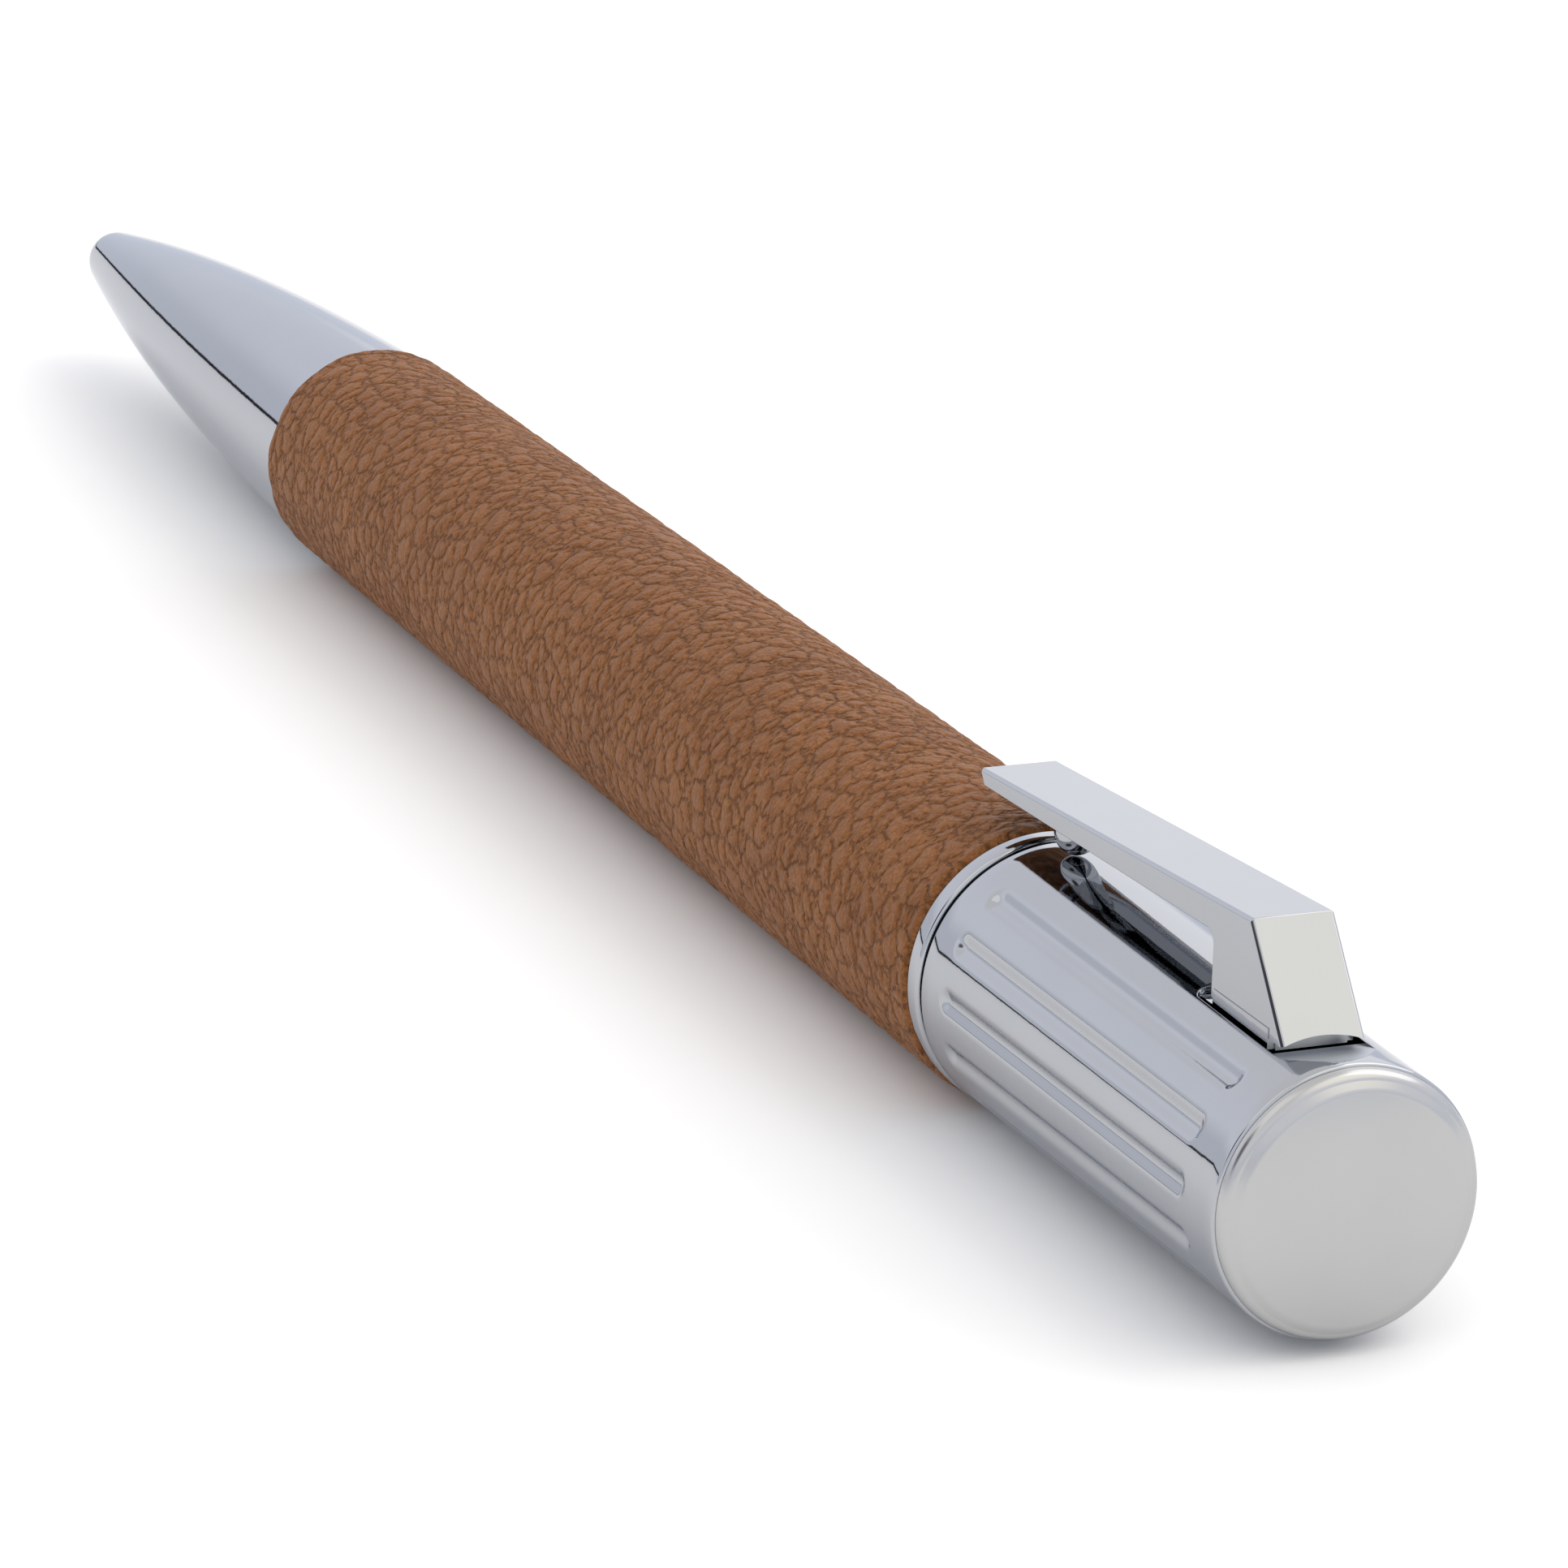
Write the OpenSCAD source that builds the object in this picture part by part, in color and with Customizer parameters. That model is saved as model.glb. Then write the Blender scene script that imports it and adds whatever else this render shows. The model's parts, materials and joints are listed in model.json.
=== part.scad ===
// Twist-action rollerball pen, lying on the flat seam of its leather with the clip straight up.
// X runs along the pen, from the writing tip (-X) to the end cap (+X). Z is up, the pen rests on z = 0,
// and x = 0 is the middle of its length. Stations, called s, are millimetres from the nose's front face.
// It is drawn retracted: turning the upper section pushes the refill out through the nose.

/* [Barrel] */
// Diameter over the leather
leather_d = 10.2; // [10:0.1:10.6]
// Length of the chromed nose cone
nose_len = 43.2; // [43:0.1:43.6]
// Length of the leather sleeve
leather_len = 74.5; // [74.2:0.1:75]
// Radius on the leather's two edges
leather_edge_r = 0.36; // [0.1:0.02:0.4]
// Width of the flat that the leather's seam is pressed to, along the underside
leather_flat_w = 2; // [1.8:0.05:2.1]
// Outer diameter of the brass tube under the leather
tube_d = 9; // [8.9:0.05:9.2]
// Bore of the brass tube
tube_bore = 8.2; // [8.15:0.05:8.3]

/* [Nose] */
// Diameter of the nose cone where it meets the leather
nose_base_d = 9.76; // [9.4:0.02:9.9]
// Diameter of the nose cone's blunt front end
nose_tip_d = 2.9; // [2.9:0.05:3.2]
// How far the nose's side bulges beyond a straight cone, halfway along it
nose_bulge = 0.64; // [0.6:0.01:0.75]
// How much of that bulge is moved towards the front
nose_skew = 0.18; // [0:0.01:0.3]
// Diameter of the hole that the refill's tip comes out of
nose_hole_d = 2.44; // [2.42:0.01:2.5]

/* [Trim] */
// Width of the chromed ring behind the leather
ring_w = 0.9; // [0.8:0.05:1.1]
// Diameter of the chromed ring
ring_d = 9.96; // [9.8:0.02:10.1]
// Width of the dark gap that the upper section turns at
gap_w = 0.22; // [0.2:0.01:0.3]

/* [Upper section] */
// Length of the fluted sleeve
upper_len = 22.4; // [22.2:0.1:22.8]
// Diameter of the sleeve at its front edge
upper_front_d = 9.84; // [9.7:0.02:9.9]
// Diameter of the sleeve at the end cap
upper_rear_d = 9.2; // [9.1:0.02:9.4]
// Bore of the sleeve
upper_bore = 8; // [7.9:0.05:8.1]
// Diameter of the end cap at its edge
end_cap_d = 9; // [8.8:0.02:9.1]
// Radius of the end cap's rounded edge
end_cap_edge_r = 0.6; // [0.4:0.05:0.8]

/* [Flutes] */
// Number of flutes
flute_count = 13; // [9:2:13]
// Sector centred on the clip that has no flutes, in degrees
flute_free_sector = 78; // [70:1:90]
// Width of a flute
flute_w = 1; // [0.8:0.05:1.2]
// Depth of a flute
flute_depth = 0.27; // [0.15:0.01:0.3]

/* [Clip] */
// Width of the clip
clip_w = 2.94; // [2.8:0.02:3]
// Length of the clip's flat top
clip_len = 21.2; // [20:0.1:22]
// Opening between the clip's bead and the sleeve
clip_bead_gap = 0.04; // [0.03:0.01:0.2]

/* [Twist mechanism] */
// How far the refill travels
travel = 4.5; // [4:0.1:4.6]
// How far the upper section turns, in degrees
twist_angle = 110; // [100:1:115]
// Clearance between parts that turn or slide on each other, on the radius
run_gap = 0.05; // [0.03:0.01:0.08]

/* [Hidden] */

// Facets on the outside, on inner parts and on the wire of a spring
fn_outer = 96;
fn_inner = 64;
fn_wire = 8;
// Small overlap that keeps a cutter clear of the face it cuts
eps = 0.05;

// Stations of the outside
leather_s = nose_len;
ring_s = leather_s + leather_len;
gap_s = ring_s + ring_w;
upper_s = gap_s + gap_w;
seam_s = upper_s + upper_len;
// The end cap's crown is a sphere that leaves its rounded edge at this slope
crown_slope = 12;
crown_rim_r = end_cap_d / 2 - end_cap_edge_r * (1 - sin(crown_slope));
crown_r = crown_rim_r / sin(crown_slope);
crown_h = crown_r * (1 - cos(crown_slope));
end_cap_h = end_cap_edge_r * cos(crown_slope) + crown_h;
pen_len = seam_s + end_cap_h;
axis_z = sqrt(pow(leather_d / 2, 2) - pow(leather_flat_w / 2, 2));

// Nose bores, front to back: each is [station where it ends, radius]
nose_guide = [7, nose_hole_d / 2];
nose_throat = [14, 1.95];
spring_chamber = [20.5, 2.5];
refill_bay = [nose_len - 7.5, 3.15];
thread_r = 4;

// Refill of the standard capless size, in the retracted position
refill_tip_s = 1.45;
ball_r = 0.35;
ball_gap = 0.03;
point_r = 0.44;
tip_r = 1.15;
tip_cone_len = 3.2;
tip_spigot_r = 0.9;
neck_s = 11.6;
neck_r = 1.75;
body_s = 25.5;
body_r = 3;
body_wall = 0.4;
body_end_s = 97;
plug_end_s = 99.5;
neck_plug_len = 3.6;
ink_r = 0.35;

// Twist mechanism: it starts behind the refill and ends inside the upper section
plunger_r = 2.62;
rotor_bore_r = plunger_r + run_gap + 0.03;
rotor_r = 3.45;
rotor_neck_r = 3.1;
housing_bore_r = rotor_r + run_gap;
housing_r = 4.05;
housing_s = plug_end_s - 1.5;
rotor_s = plug_end_s - 0.5;
rotor_collar_s = plug_end_s + 12.3;
plunger_end_s = plug_end_s + 12.5;
pin_s = plug_end_s + 6.5;
pin_r = 0.6;
slot_gap = 0.12;
friction_wire_r = 0.18;
bush_s = rotor_collar_s + 0.2;
bush_end_s = gap_s - 2 * friction_wire_r - 0.04;

// Clip, seen from the side: heights are above the pen's axis
clip_front_s = seam_s - 25.8;
clip_front_z = 6.68;
clip_rear_z = 7.99;
clip_foot_s = seam_s - 2.16;
clip_foot_z = 4.7;
clip_foot_gap = 0.16;
clip_leg_s = seam_s - 7.15;
clip_leg_z = 5.1;
clip_belly_front = [seam_s - 25.4, 6.15];
clip_belly_rear_z = 6.75;
window_corner_r = 0.5;
bead_s = seam_s - 21.1;
bead_r = 0.62;

// Clip pivot inside the sleeve
pivot_s = seam_s - 6.05;
pivot_z = 3.3;
pivot_r = 0.5;
pivot_gap = 0.04;
lug_w = 2.5;
lug_r = 1;
lug_front_s = pivot_s - lug_r;
lug_rear_s = pivot_s + 3.16;
lug_floor_z = 3.6;
carrier_s = seam_s - 9.7;
carrier_end_s = seam_s - 1.4;
carrier_slot_w = 2.64;
carrier_slot_z = 2.2;
rotor_end_s = carrier_s - 0.3;
pocket_w = 3.26;
pocket_s = seam_s - 8.15;
pocket_end_s = seam_s - 2.77;
pocket_corner_r = 0.5;
ramp_end_s = seam_s - 0.32;
ramp_slope = 11;
stud_r = 1.2;
stud_s = seam_s - 7;
clip_spring_s = seam_s - 3.9;
clip_spring_floor_z = 1.72;

// Everything turned on the pen's axis: profile points are [radius, station]
module on_axis() {
    translate([-pen_len / 2, 0, axis_z]) rotate([0, 90, 0]) children();
}

module turned(profile, fn = fn_inner) {
    on_axis() rotate_extrude($fn = fn) polygon(profile);
}

module ring(r_in, r_out, s0, s1, fn = fn_inner) {
    turned([[r_in, s0], [r_out, s0], [r_out, s1], [r_in, s1]], fn);
}

module rod(r, s0, s1, fn = fn_inner) {
    on_axis() translate([0, 0, s0]) cylinder(r = r, h = s1 - s0, $fn = fn);
}

// A plain O-ring on the axis
module o_ring(r, wire_r, s) {
    on_axis() translate([0, 0, s]) rotate_extrude($fn = fn_inner) translate([r, 0]) circle(r = wire_r, $fn = 20);
}

// Children drawn with X as the station and Z as the height above the axis
module side_view() {
    translate([-pen_len / 2, 0, axis_z]) children();
}

// An outline of [station, height] points, extruded across the pen
module across(width) {
    side_view() rotate([90, 0, 0]) linear_extrude(height = width, center = true) children();
}

function arc(cx, cy, r, a0, a1, n) =
    [for (i = [0 : n]) [cx + r * cos(a0 + (a1 - a0) * i / n), cy + r * sin(a0 + (a1 - a0) * i / n)]];

// Radius of the nose cone, t = 0 at its front face and 1 at the leather: a straight cone plus a bulge
function nose_r(t) = (nose_tip_d * (1 - t) + nose_base_d * t) / 2
    + 4 * nose_bulge * t * (1 - t) * (1 + nose_skew * (1 - 2 * t));

// Radius of the fluted sleeve at a station
function upper_r(s) = (upper_front_d + (upper_rear_d - upper_front_d) * (s - upper_s) / upper_len) / 2;

// Shallow parallel ridges that stand for a fine screw thread on a turned part
module thread_grooves(r, s0, s1, pitch = 0.75, depth = 0.18) {
    count = floor((s1 - s0) / pitch);
    for (i = [0 : count - 1])
        turned([[r - depth, s0 + (i + 0.5) * pitch],
                [r + eps, s0 + (i + 0.1) * pitch],
                [r + eps, s0 + (i + 0.9) * pitch]]);
}

// A round wire wound along Z: rings of points swept along a helix, closed at both ends
module coil(coil_r, wire_r, height, turns, steps) {
    n = turns * steps;
    rise = (height - 2 * wire_r) / n;
    points = [for (i = [0 : n], j = [0 : fn_wire - 1])
        let (a = 360 * i / steps, b = 360 * j / fn_wire, r = coil_r + wire_r * cos(b))
        [r * cos(a), r * sin(a), wire_r + rise * i + wire_r * sin(b)]];
    sides = [for (i = [0 : n - 1], j = [0 : fn_wire - 1])
        let (k = (j + 1) % fn_wire)
        [i * fn_wire + j, i * fn_wire + k, (i + 1) * fn_wire + k, (i + 1) * fn_wire + j]];
    first_end = [[for (j = [fn_wire - 1 : -1 : 0]) j]];
    last_end = [[for (j = [0 : fn_wire - 1]) n * fn_wire + j]];
    polyhedron(points = points, faces = concat(sides, first_end, last_end), convexity = 10);
}

// ---- barrel ----

module nose_cone() {
    lip = 0.04;
    tip_round = (nose_tip_d - nose_hole_d) / 2 - lip;
    steps = 28;
    color([0.78, 0.8, 0.84]) turned(concat(
        arc(nose_r(0) - tip_round, tip_round, tip_round, -90, -15, 5),
        [for (i = [1 : steps]) [nose_r(i / steps), nose_len * i / steps]],
        [[thread_r, nose_len], [thread_r, refill_bay[0]], [refill_bay[1], refill_bay[0]],
         [refill_bay[1], spring_chamber[0]], [spring_chamber[1], spring_chamber[0]],
         [spring_chamber[1], nose_throat[0]], [nose_throat[1], nose_throat[0]],
         [nose_throat[1], nose_guide[0]], [nose_guide[1], nose_guide[0]], [nose_guide[1], lip]]), fn_outer);
}

module front_coupler() {
    thread_out = thread_r - 0.05;
    groove_s = leather_s - 1;
    color([0.76, 0.62, 0.32]) difference() {
        union() {
            rod(thread_out, leather_s - 7, leather_s);
            rod(tube_bore / 2, leather_s, leather_s + 8);
        }
        rod(refill_bay[1] + 0.05, leather_s - 8, leather_s + 9);
        thread_grooves(thread_out, leather_s - 6.8, groove_s - 0.2);
        ring(3.5, thread_r + eps, groove_s, groove_s + 0.5);
    }
}

module nose_o_ring() {
    wire_r = 0.22;
    color([0.08, 0.08, 0.09]) o_ring(3.5 + wire_r, wire_r, leather_s - 0.75);
}

module barrel_tube() {
    color([0.76, 0.62, 0.32]) ring(tube_bore / 2, tube_d / 2, leather_s, ring_s);
}

module leather_sleeve() {
    r = leather_d / 2;
    e = leather_edge_r;
    color([0.6, 0.42, 0.31]) difference() {
        turned(concat(
            [[tube_d / 2, leather_s]],
            arc(r - e, leather_s + e, e, -90, 0, 6),
            arc(r - e, ring_s - e, e, 0, 90, 6),
            [[tube_d / 2, ring_s]]), fn_outer);
        side_view() translate([leather_s - 1, -r, -axis_z - 1]) cube([leather_len + 2, 2 * r, 1]);
    }
}

module trim_ring() {
    r = ring_d / 2;
    e = 0.16;
    color([0.78, 0.8, 0.84]) turned(concat(
        [[housing_r, ring_s]],
        arc(r - e, ring_s + e, e, -90, 0, 5),
        arc(r - e, gap_s - e, e, 0, 90, 5),
        [[housing_r, gap_s]]), fn_outer);
}

module twist_washer() {
    color([0.05, 0.05, 0.06]) ring(housing_r + 0.05, ring_d / 2 - 0.28, gap_s, upper_s - run_gap, fn_outer);
}

// ---- twist mechanism ----

// The housing stays with the barrel: its two straight slots keep the cross pin from turning
module mech_housing() {
    slot_r = pin_r + slot_gap;
    lip_r = plunger_r + 0.1;
    color([0.76, 0.62, 0.32]) difference() {
        rod(housing_r, housing_s, gap_s);
        rod(lip_r, housing_s - 1, housing_s + 0.8);
        rod(housing_bore_r, housing_s + 0.8, gap_s + 1);
        thread_grooves(housing_r, bush_s - 2, ring_s - 1);
        on_axis() rotate([90, 0, 0]) linear_extrude(height = 2 * tube_bore, center = true) {
            translate([0, pin_s]) circle(r = slot_r, $fn = 32);
            translate([0, pin_s - travel]) circle(r = slot_r, $fn = 32);
            translate([-slot_r, pin_s - travel]) square([2 * slot_r, travel]);
        }
    }
}

module mech_bush() {
    color([0.9, 0.9, 0.86]) ring(rotor_neck_r + run_gap, housing_bore_r, bush_s, bush_end_s);
}

module friction_o_ring() {
    color([0.08, 0.08, 0.09])
        o_ring(housing_bore_r - friction_wire_r, friction_wire_r, bush_end_s + friction_wire_r + 0.02);
}

// One of the rotor's two helical slots: a row of round cuts along the helix
module helical_slot(start) {
    steps = 26;
    for (i = [0 : steps]) {
        f = i / steps;
        on_axis() translate([0, 0, pin_s - travel * f]) rotate([0, 0, start + twist_angle * f])
            rotate([0, 90, 0]) cylinder(r = pin_r + slot_gap, h = rotor_r + 1, $fn = 24);
    }
}

module mech_rotor() {
    color([0.82, 0.82, 0.8]) difference() {
        union() {
            rod(rotor_r, rotor_s, rotor_collar_s);
            rod(rotor_neck_r, rotor_collar_s, rotor_end_s);
        }
        rod(rotor_bore_r, rotor_s - 1, rotor_end_s - 1.5);
        helical_slot(90);
        helical_slot(270);
    }
}

module plunger() {
    nub_r = 1.6;
    color([0.88, 0.88, 0.84]) difference() {
        rod(plunger_r, plug_end_s - 0.9, plunger_end_s);
        rod(nub_r, plug_end_s - 2, plug_end_s);
        side_view() translate([pin_s, 0, 0]) rotate([90, 0, 0]) cylinder(r = pin_r, h = 10, center = true, $fn = 32);
    }
}

module plunger_pin() {
    color([0.7, 0.71, 0.73]) side_view() translate([pin_s, 0, 0]) rotate([90, 0, 0])
        cylinder(r = pin_r, h = 2 * (housing_r - 0.1), center = true, $fn = 32);
}

// ---- upper section ----

module upper_liner() {
    color([0.76, 0.62, 0.32]) ring(rotor_neck_r, upper_bore / 2, upper_s + 0.25, rotor_end_s);
}

// A round-ended flute, cut along the sleeve's taper by a cylinder with a ball at each end
module flute(angle) {
    cutter_r = (pow(flute_w / 2, 2) + pow(flute_depth, 2)) / (2 * flute_depth);
    s0 = upper_s + 1.6 + flute_w / 2;
    s1 = seam_s - 2 - flute_w / 2;
    lift = cutter_r - flute_depth;
    slope = atan((upper_r(s0) - upper_r(s1)) / (s1 - s0));
    reach = (s1 - s0) / cos(slope);
    on_axis() rotate([0, 0, angle]) translate([upper_r(s0) + lift, 0, s0]) rotate([0, -slope, 0]) {
        cylinder(r = cutter_r, h = reach, $fn = 40);
        sphere(r = cutter_r, $fn = 40);
        translate([0, 0, reach]) sphere(r = cutter_r, $fn = 40);
    }
}

// The window for the clip's leg, and the sloping recess behind it that the clip is pressed into
module clip_recess() {
    r = pocket_corner_r;
    side_view() linear_extrude(height = 8) difference() {
        translate([pocket_s, -pocket_w / 2]) square([pocket_end_s - pocket_s, pocket_w]);
        for (side = [-1, 1]) translate([pocket_s, side * pocket_w / 2]) difference() {
            square(2 * r, center = true);
            translate([r, -side * r]) circle(r = r, $fn = 32);
        }
    }
    drop = (ramp_end_s - pocket_end_s) * tan(ramp_slope);
    across(pocket_w) polygon([
        [pocket_end_s - 1, upper_r(ramp_end_s) - drop],
        [pocket_end_s, upper_r(ramp_end_s) - drop],
        [ramp_end_s, upper_r(ramp_end_s)],
        [ramp_end_s, 6],
        [pocket_end_s - 1, 6]]);
}

module upper_sleeve() {
    pitch = (360 - flute_free_sector) / (flute_count - 1);
    e = 0.14;
    color([0.78, 0.8, 0.84]) difference() {
        turned([[upper_bore / 2, upper_s], [upper_r(upper_s) - e, upper_s], [upper_r(upper_s + e), upper_s + e],
                [upper_r(seam_s - e), seam_s - e], [upper_r(seam_s) - e, seam_s], [upper_bore / 2, seam_s]],
               fn_outer);
        for (i = [0 : flute_count - 1]) flute(180 + flute_free_sector / 2 + i * pitch);
        clip_recess();
    }
}

module clip_carrier() {
    color([0.76, 0.62, 0.32]) difference() {
        rod(upper_bore / 2, carrier_s, carrier_end_s);
        rod(stud_r, stud_s, carrier_end_s + 1);
        side_view() translate([lug_front_s - 0.2, -carrier_slot_w / 2, carrier_slot_z])
            cube([pocket_end_s - lug_front_s + 0.2, carrier_slot_w, 4]);
        side_view() translate([clip_spring_s, 0, clip_spring_floor_z]) cylinder(r = 1.15, h = 4, $fn = 40);
        side_view() translate([pivot_s, 0, pivot_z]) rotate([90, 0, 0])
            cylinder(r = pivot_r, h = 12, center = true, $fn = 32);
        clip_recess();
    }
}

module end_stud() {
    color([0.7, 0.71, 0.73]) difference() {
        rod(stud_r, stud_s, seam_s);
        thread_grooves(stud_r, stud_s + 0.2, carrier_end_s - 0.6, 0.5, 0.12);
    }
}

module end_cap() {
    r = end_cap_d / 2;
    e = end_cap_edge_r;
    sphere_s = pen_len - crown_r;
    color([0.8, 0.81, 0.83]) turned(concat(
        [[stud_r, carrier_end_s], [upper_bore / 2, carrier_end_s], [upper_bore / 2, seam_s], [r, seam_s]],
        arc(r - e, seam_s, e, 0, 90 - crown_slope, 8),
        [for (i = [1 : 7]) let (a = crown_slope * (1 - i / 8)) [crown_r * sin(a), sphere_s + crown_r * cos(a)]],
        [[0, pen_len], [0, seam_s], [stud_r, seam_s]]), fn_outer);
}

// ---- clip ----

module clip() {
    rear_top_s = clip_front_s + clip_len;
    r = window_corner_r;
    lean = atan((clip_belly_rear_z - clip_belly_front[1]) / (clip_leg_s - clip_belly_front[0]));
    corner = [clip_leg_s - r, clip_belly_rear_z - r / cos(lean) - r * tan(lean)];
    color([0.78, 0.8, 0.84]) difference() {
        union() {
            difference() {
                across(clip_w) polygon(concat(
                    [[clip_front_s, clip_front_z], [rear_top_s, clip_rear_z], [clip_foot_s + 0.12, clip_foot_z - 0.1],
                     [clip_foot_s - 0.24, clip_foot_z - 0.21], [clip_leg_s, clip_leg_z]],
                    arc(corner[0], corner[1], r, 0, 90 + lean, 8),
                    [clip_belly_front]));
                rod(upper_r(clip_foot_s) + clip_foot_gap, clip_leg_s - 1, clip_foot_s + 2, fn_outer);
            }
            across(lug_w) polygon([
                [lug_front_s, pivot_z], [lug_front_s, 5.4], [lug_rear_s, 5.4],
                [lug_rear_s, lug_floor_z], [pivot_s + 0.6, lug_floor_z - 0.4], [pivot_s, pivot_z]]);
            side_view() translate([pivot_s, 0, pivot_z]) rotate([90, 0, 0])
                cylinder(r = lug_r, h = lug_w, center = true, $fn = 40);
            side_view() translate([bead_s, 0, upper_r(bead_s) + clip_bead_gap + bead_r]) {
                sphere(r = bead_r, $fn = 40);
                cylinder(r = bead_r, h = 1.2, $fn = 40);
            }
        }
        side_view() translate([pivot_s, 0, pivot_z]) rotate([90, 0, 0])
            cylinder(r = pivot_r + pivot_gap, h = 12, center = true, $fn = 32);
    }
}

module clip_pin() {
    half = sqrt(pow(upper_bore / 2, 2) - pow(pivot_z + pivot_r, 2));
    color([0.7, 0.71, 0.73]) side_view() translate([pivot_s, 0, pivot_z]) rotate([90, 0, 0])
        cylinder(r = pivot_r, h = 2 * (half - 0.05), center = true, $fn = 32);
}

module clip_spring() {
    color([0.7, 0.71, 0.73]) side_view() translate([clip_spring_s, 0, clip_spring_floor_z])
        coil(0.85, 0.13, lug_floor_z - clip_spring_floor_z - 0.12, 4, 18);
}

// ---- refill ----

module refill_plug() {
    tube_in = body_r - body_wall;
    color([0.13, 0.14, 0.17]) union() {
        rod(tube_in, body_end_s - 3, body_end_s);
        rod(body_r, body_end_s, body_end_s + 0.8);
        rod(1.5, body_end_s + 0.8, plug_end_s);
    }
}

module refill_tube() {
    color([0.72, 0.73, 0.75]) ring(body_r - body_wall, body_r, body_s + 0.8, body_end_s);
}

module refill_reservoir() {
    color([0.12, 0.14, 0.3]) rod(body_r - body_wall - 0.08, body_s + neck_plug_len + 1, body_end_s - 4);
}

module refill_neck() {
    color([0.13, 0.14, 0.17]) difference() {
        union() {
            rod(neck_r, neck_s, body_s);
            rod(body_r, body_s, body_s + 0.8);
            rod(body_r - body_wall, body_s + 0.8, body_s + neck_plug_len);
        }
        rod(tip_spigot_r, neck_s - 1, neck_s + 3);
        rod(ink_r, neck_s + 2, body_s + neck_plug_len + 1);
    }
}

module refill_tip() {
    cone_end = refill_tip_s + 0.25 + tip_cone_len;
    ball_s = refill_tip_s + ball_r;
    color([0.8, 0.8, 0.78]) difference() {
        turned([[0, refill_tip_s + 0.25], [point_r, refill_tip_s + 0.25], [tip_r, cone_end], [tip_r, neck_s],
                [tip_spigot_r, neck_s], [tip_spigot_r, neck_s + 3], [0, neck_s + 3]]);
        on_axis() translate([0, 0, ball_s]) sphere(r = ball_r + ball_gap, $fn = 32);
        rod(0.18, ball_s, cone_end, 24);
        rod(ink_r, cone_end, neck_s + 4, 24);
    }
}

module refill_ball() {
    color([0.6, 0.61, 0.63]) on_axis() translate([0, 0, refill_tip_s + ball_r]) sphere(r = ball_r, $fn = 32);
}

module return_spring() {
    color([0.7, 0.71, 0.73]) on_axis() translate([0, 0, nose_throat[0]])
        coil(2.14, 0.19, body_s - nose_throat[0], 8, 20);
}

nose_cone();
front_coupler();
nose_o_ring();
barrel_tube();
leather_sleeve();
trim_ring();
twist_washer();
mech_housing();
mech_bush();
friction_o_ring();
mech_rotor();
upper_liner();
upper_sleeve();
clip_carrier();
end_stud();
end_cap();
clip();
clip_pin();
clip_spring();
plunger();
plunger_pin();
refill_plug();
refill_tube();
refill_reservoir();
refill_neck();
refill_tip();
refill_ball();
return_spring();
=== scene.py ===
import json
import math

import bmesh
import bpy
import numpy as np
from mathutils import Matrix, Vector


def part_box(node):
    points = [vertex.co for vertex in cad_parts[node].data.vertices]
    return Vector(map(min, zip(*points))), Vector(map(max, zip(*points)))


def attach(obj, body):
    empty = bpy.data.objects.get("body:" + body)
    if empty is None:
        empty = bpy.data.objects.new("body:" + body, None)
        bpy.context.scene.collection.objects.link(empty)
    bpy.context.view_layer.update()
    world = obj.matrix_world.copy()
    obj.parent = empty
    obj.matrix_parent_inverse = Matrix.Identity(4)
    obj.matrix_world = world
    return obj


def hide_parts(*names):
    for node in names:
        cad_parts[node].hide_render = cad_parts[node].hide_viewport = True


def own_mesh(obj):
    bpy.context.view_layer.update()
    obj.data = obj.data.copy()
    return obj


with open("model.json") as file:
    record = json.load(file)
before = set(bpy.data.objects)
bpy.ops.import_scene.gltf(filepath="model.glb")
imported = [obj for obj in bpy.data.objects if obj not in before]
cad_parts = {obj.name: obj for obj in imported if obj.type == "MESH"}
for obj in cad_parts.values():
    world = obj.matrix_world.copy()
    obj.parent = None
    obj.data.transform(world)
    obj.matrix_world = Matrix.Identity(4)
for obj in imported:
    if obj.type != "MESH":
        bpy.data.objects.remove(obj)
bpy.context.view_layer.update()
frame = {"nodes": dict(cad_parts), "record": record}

# Lengths below are in millimetres. A station is measured along the pen from the nose's front face,
# a height is measured up from the pen's axis, and across is along Y. Angles are in degrees.
MM = 0.001
NOSE_LO, NOSE_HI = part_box("nose_cone")
LEATHER_LO, LEATHER_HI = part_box("leather_sleeve")
TUBE_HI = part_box("barrel_tube")[1]
RING_LO, RING_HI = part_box("trim_ring")
SLEEVE_LO, SLEEVE_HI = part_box("upper_sleeve")
CAP_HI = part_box("end_cap")[1]
CLIP_LO, CLIP_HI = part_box("clip")
SPRING_LO, SPRING_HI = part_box("return_spring")
CLIP_SPRING_LO, CLIP_SPRING_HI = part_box("clip_spring")
JOINTS = {joint["name"]: joint for joint in frame["record"]["behaviour"]["joints"]}
AXIS_Z = JOINTS["twist"]["pos_m"][2]
TIP_X = NOSE_LO.x


def station(x):
    return (x - TIP_X) / MM


def height(z):
    return (z - AXIS_Z) / MM


NOSE_S = station(NOSE_HI.x)
LEATHER_S0 = station(LEATHER_LO.x)
LEATHER_S1 = station(LEATHER_HI.x)
RING_S = station(RING_LO.x)
GAP_S = station(RING_HI.x)
UPPER_S = station(SLEEVE_LO.x)
SEAM_S = station(SLEEVE_HI.x)
END_S = station(CAP_HI.x)
TUBE_R = height(TUBE_HI.z)
LEATHER_R = height(LEATHER_HI.z)
RING_R = height(RING_HI.z)
SLEEVE_FRONT_R = height(SLEEVE_HI.z)
SLEEVE_REAR_R = 4.6
SLEEVE_BORE_R = 4.0
CAP_R = 4.5
CLIP_HALF_W = (CLIP_HI.y - CLIP_LO.y) / 2 / MM
FLOOR_H = height(0)


# ---- mesh helpers ----

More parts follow.
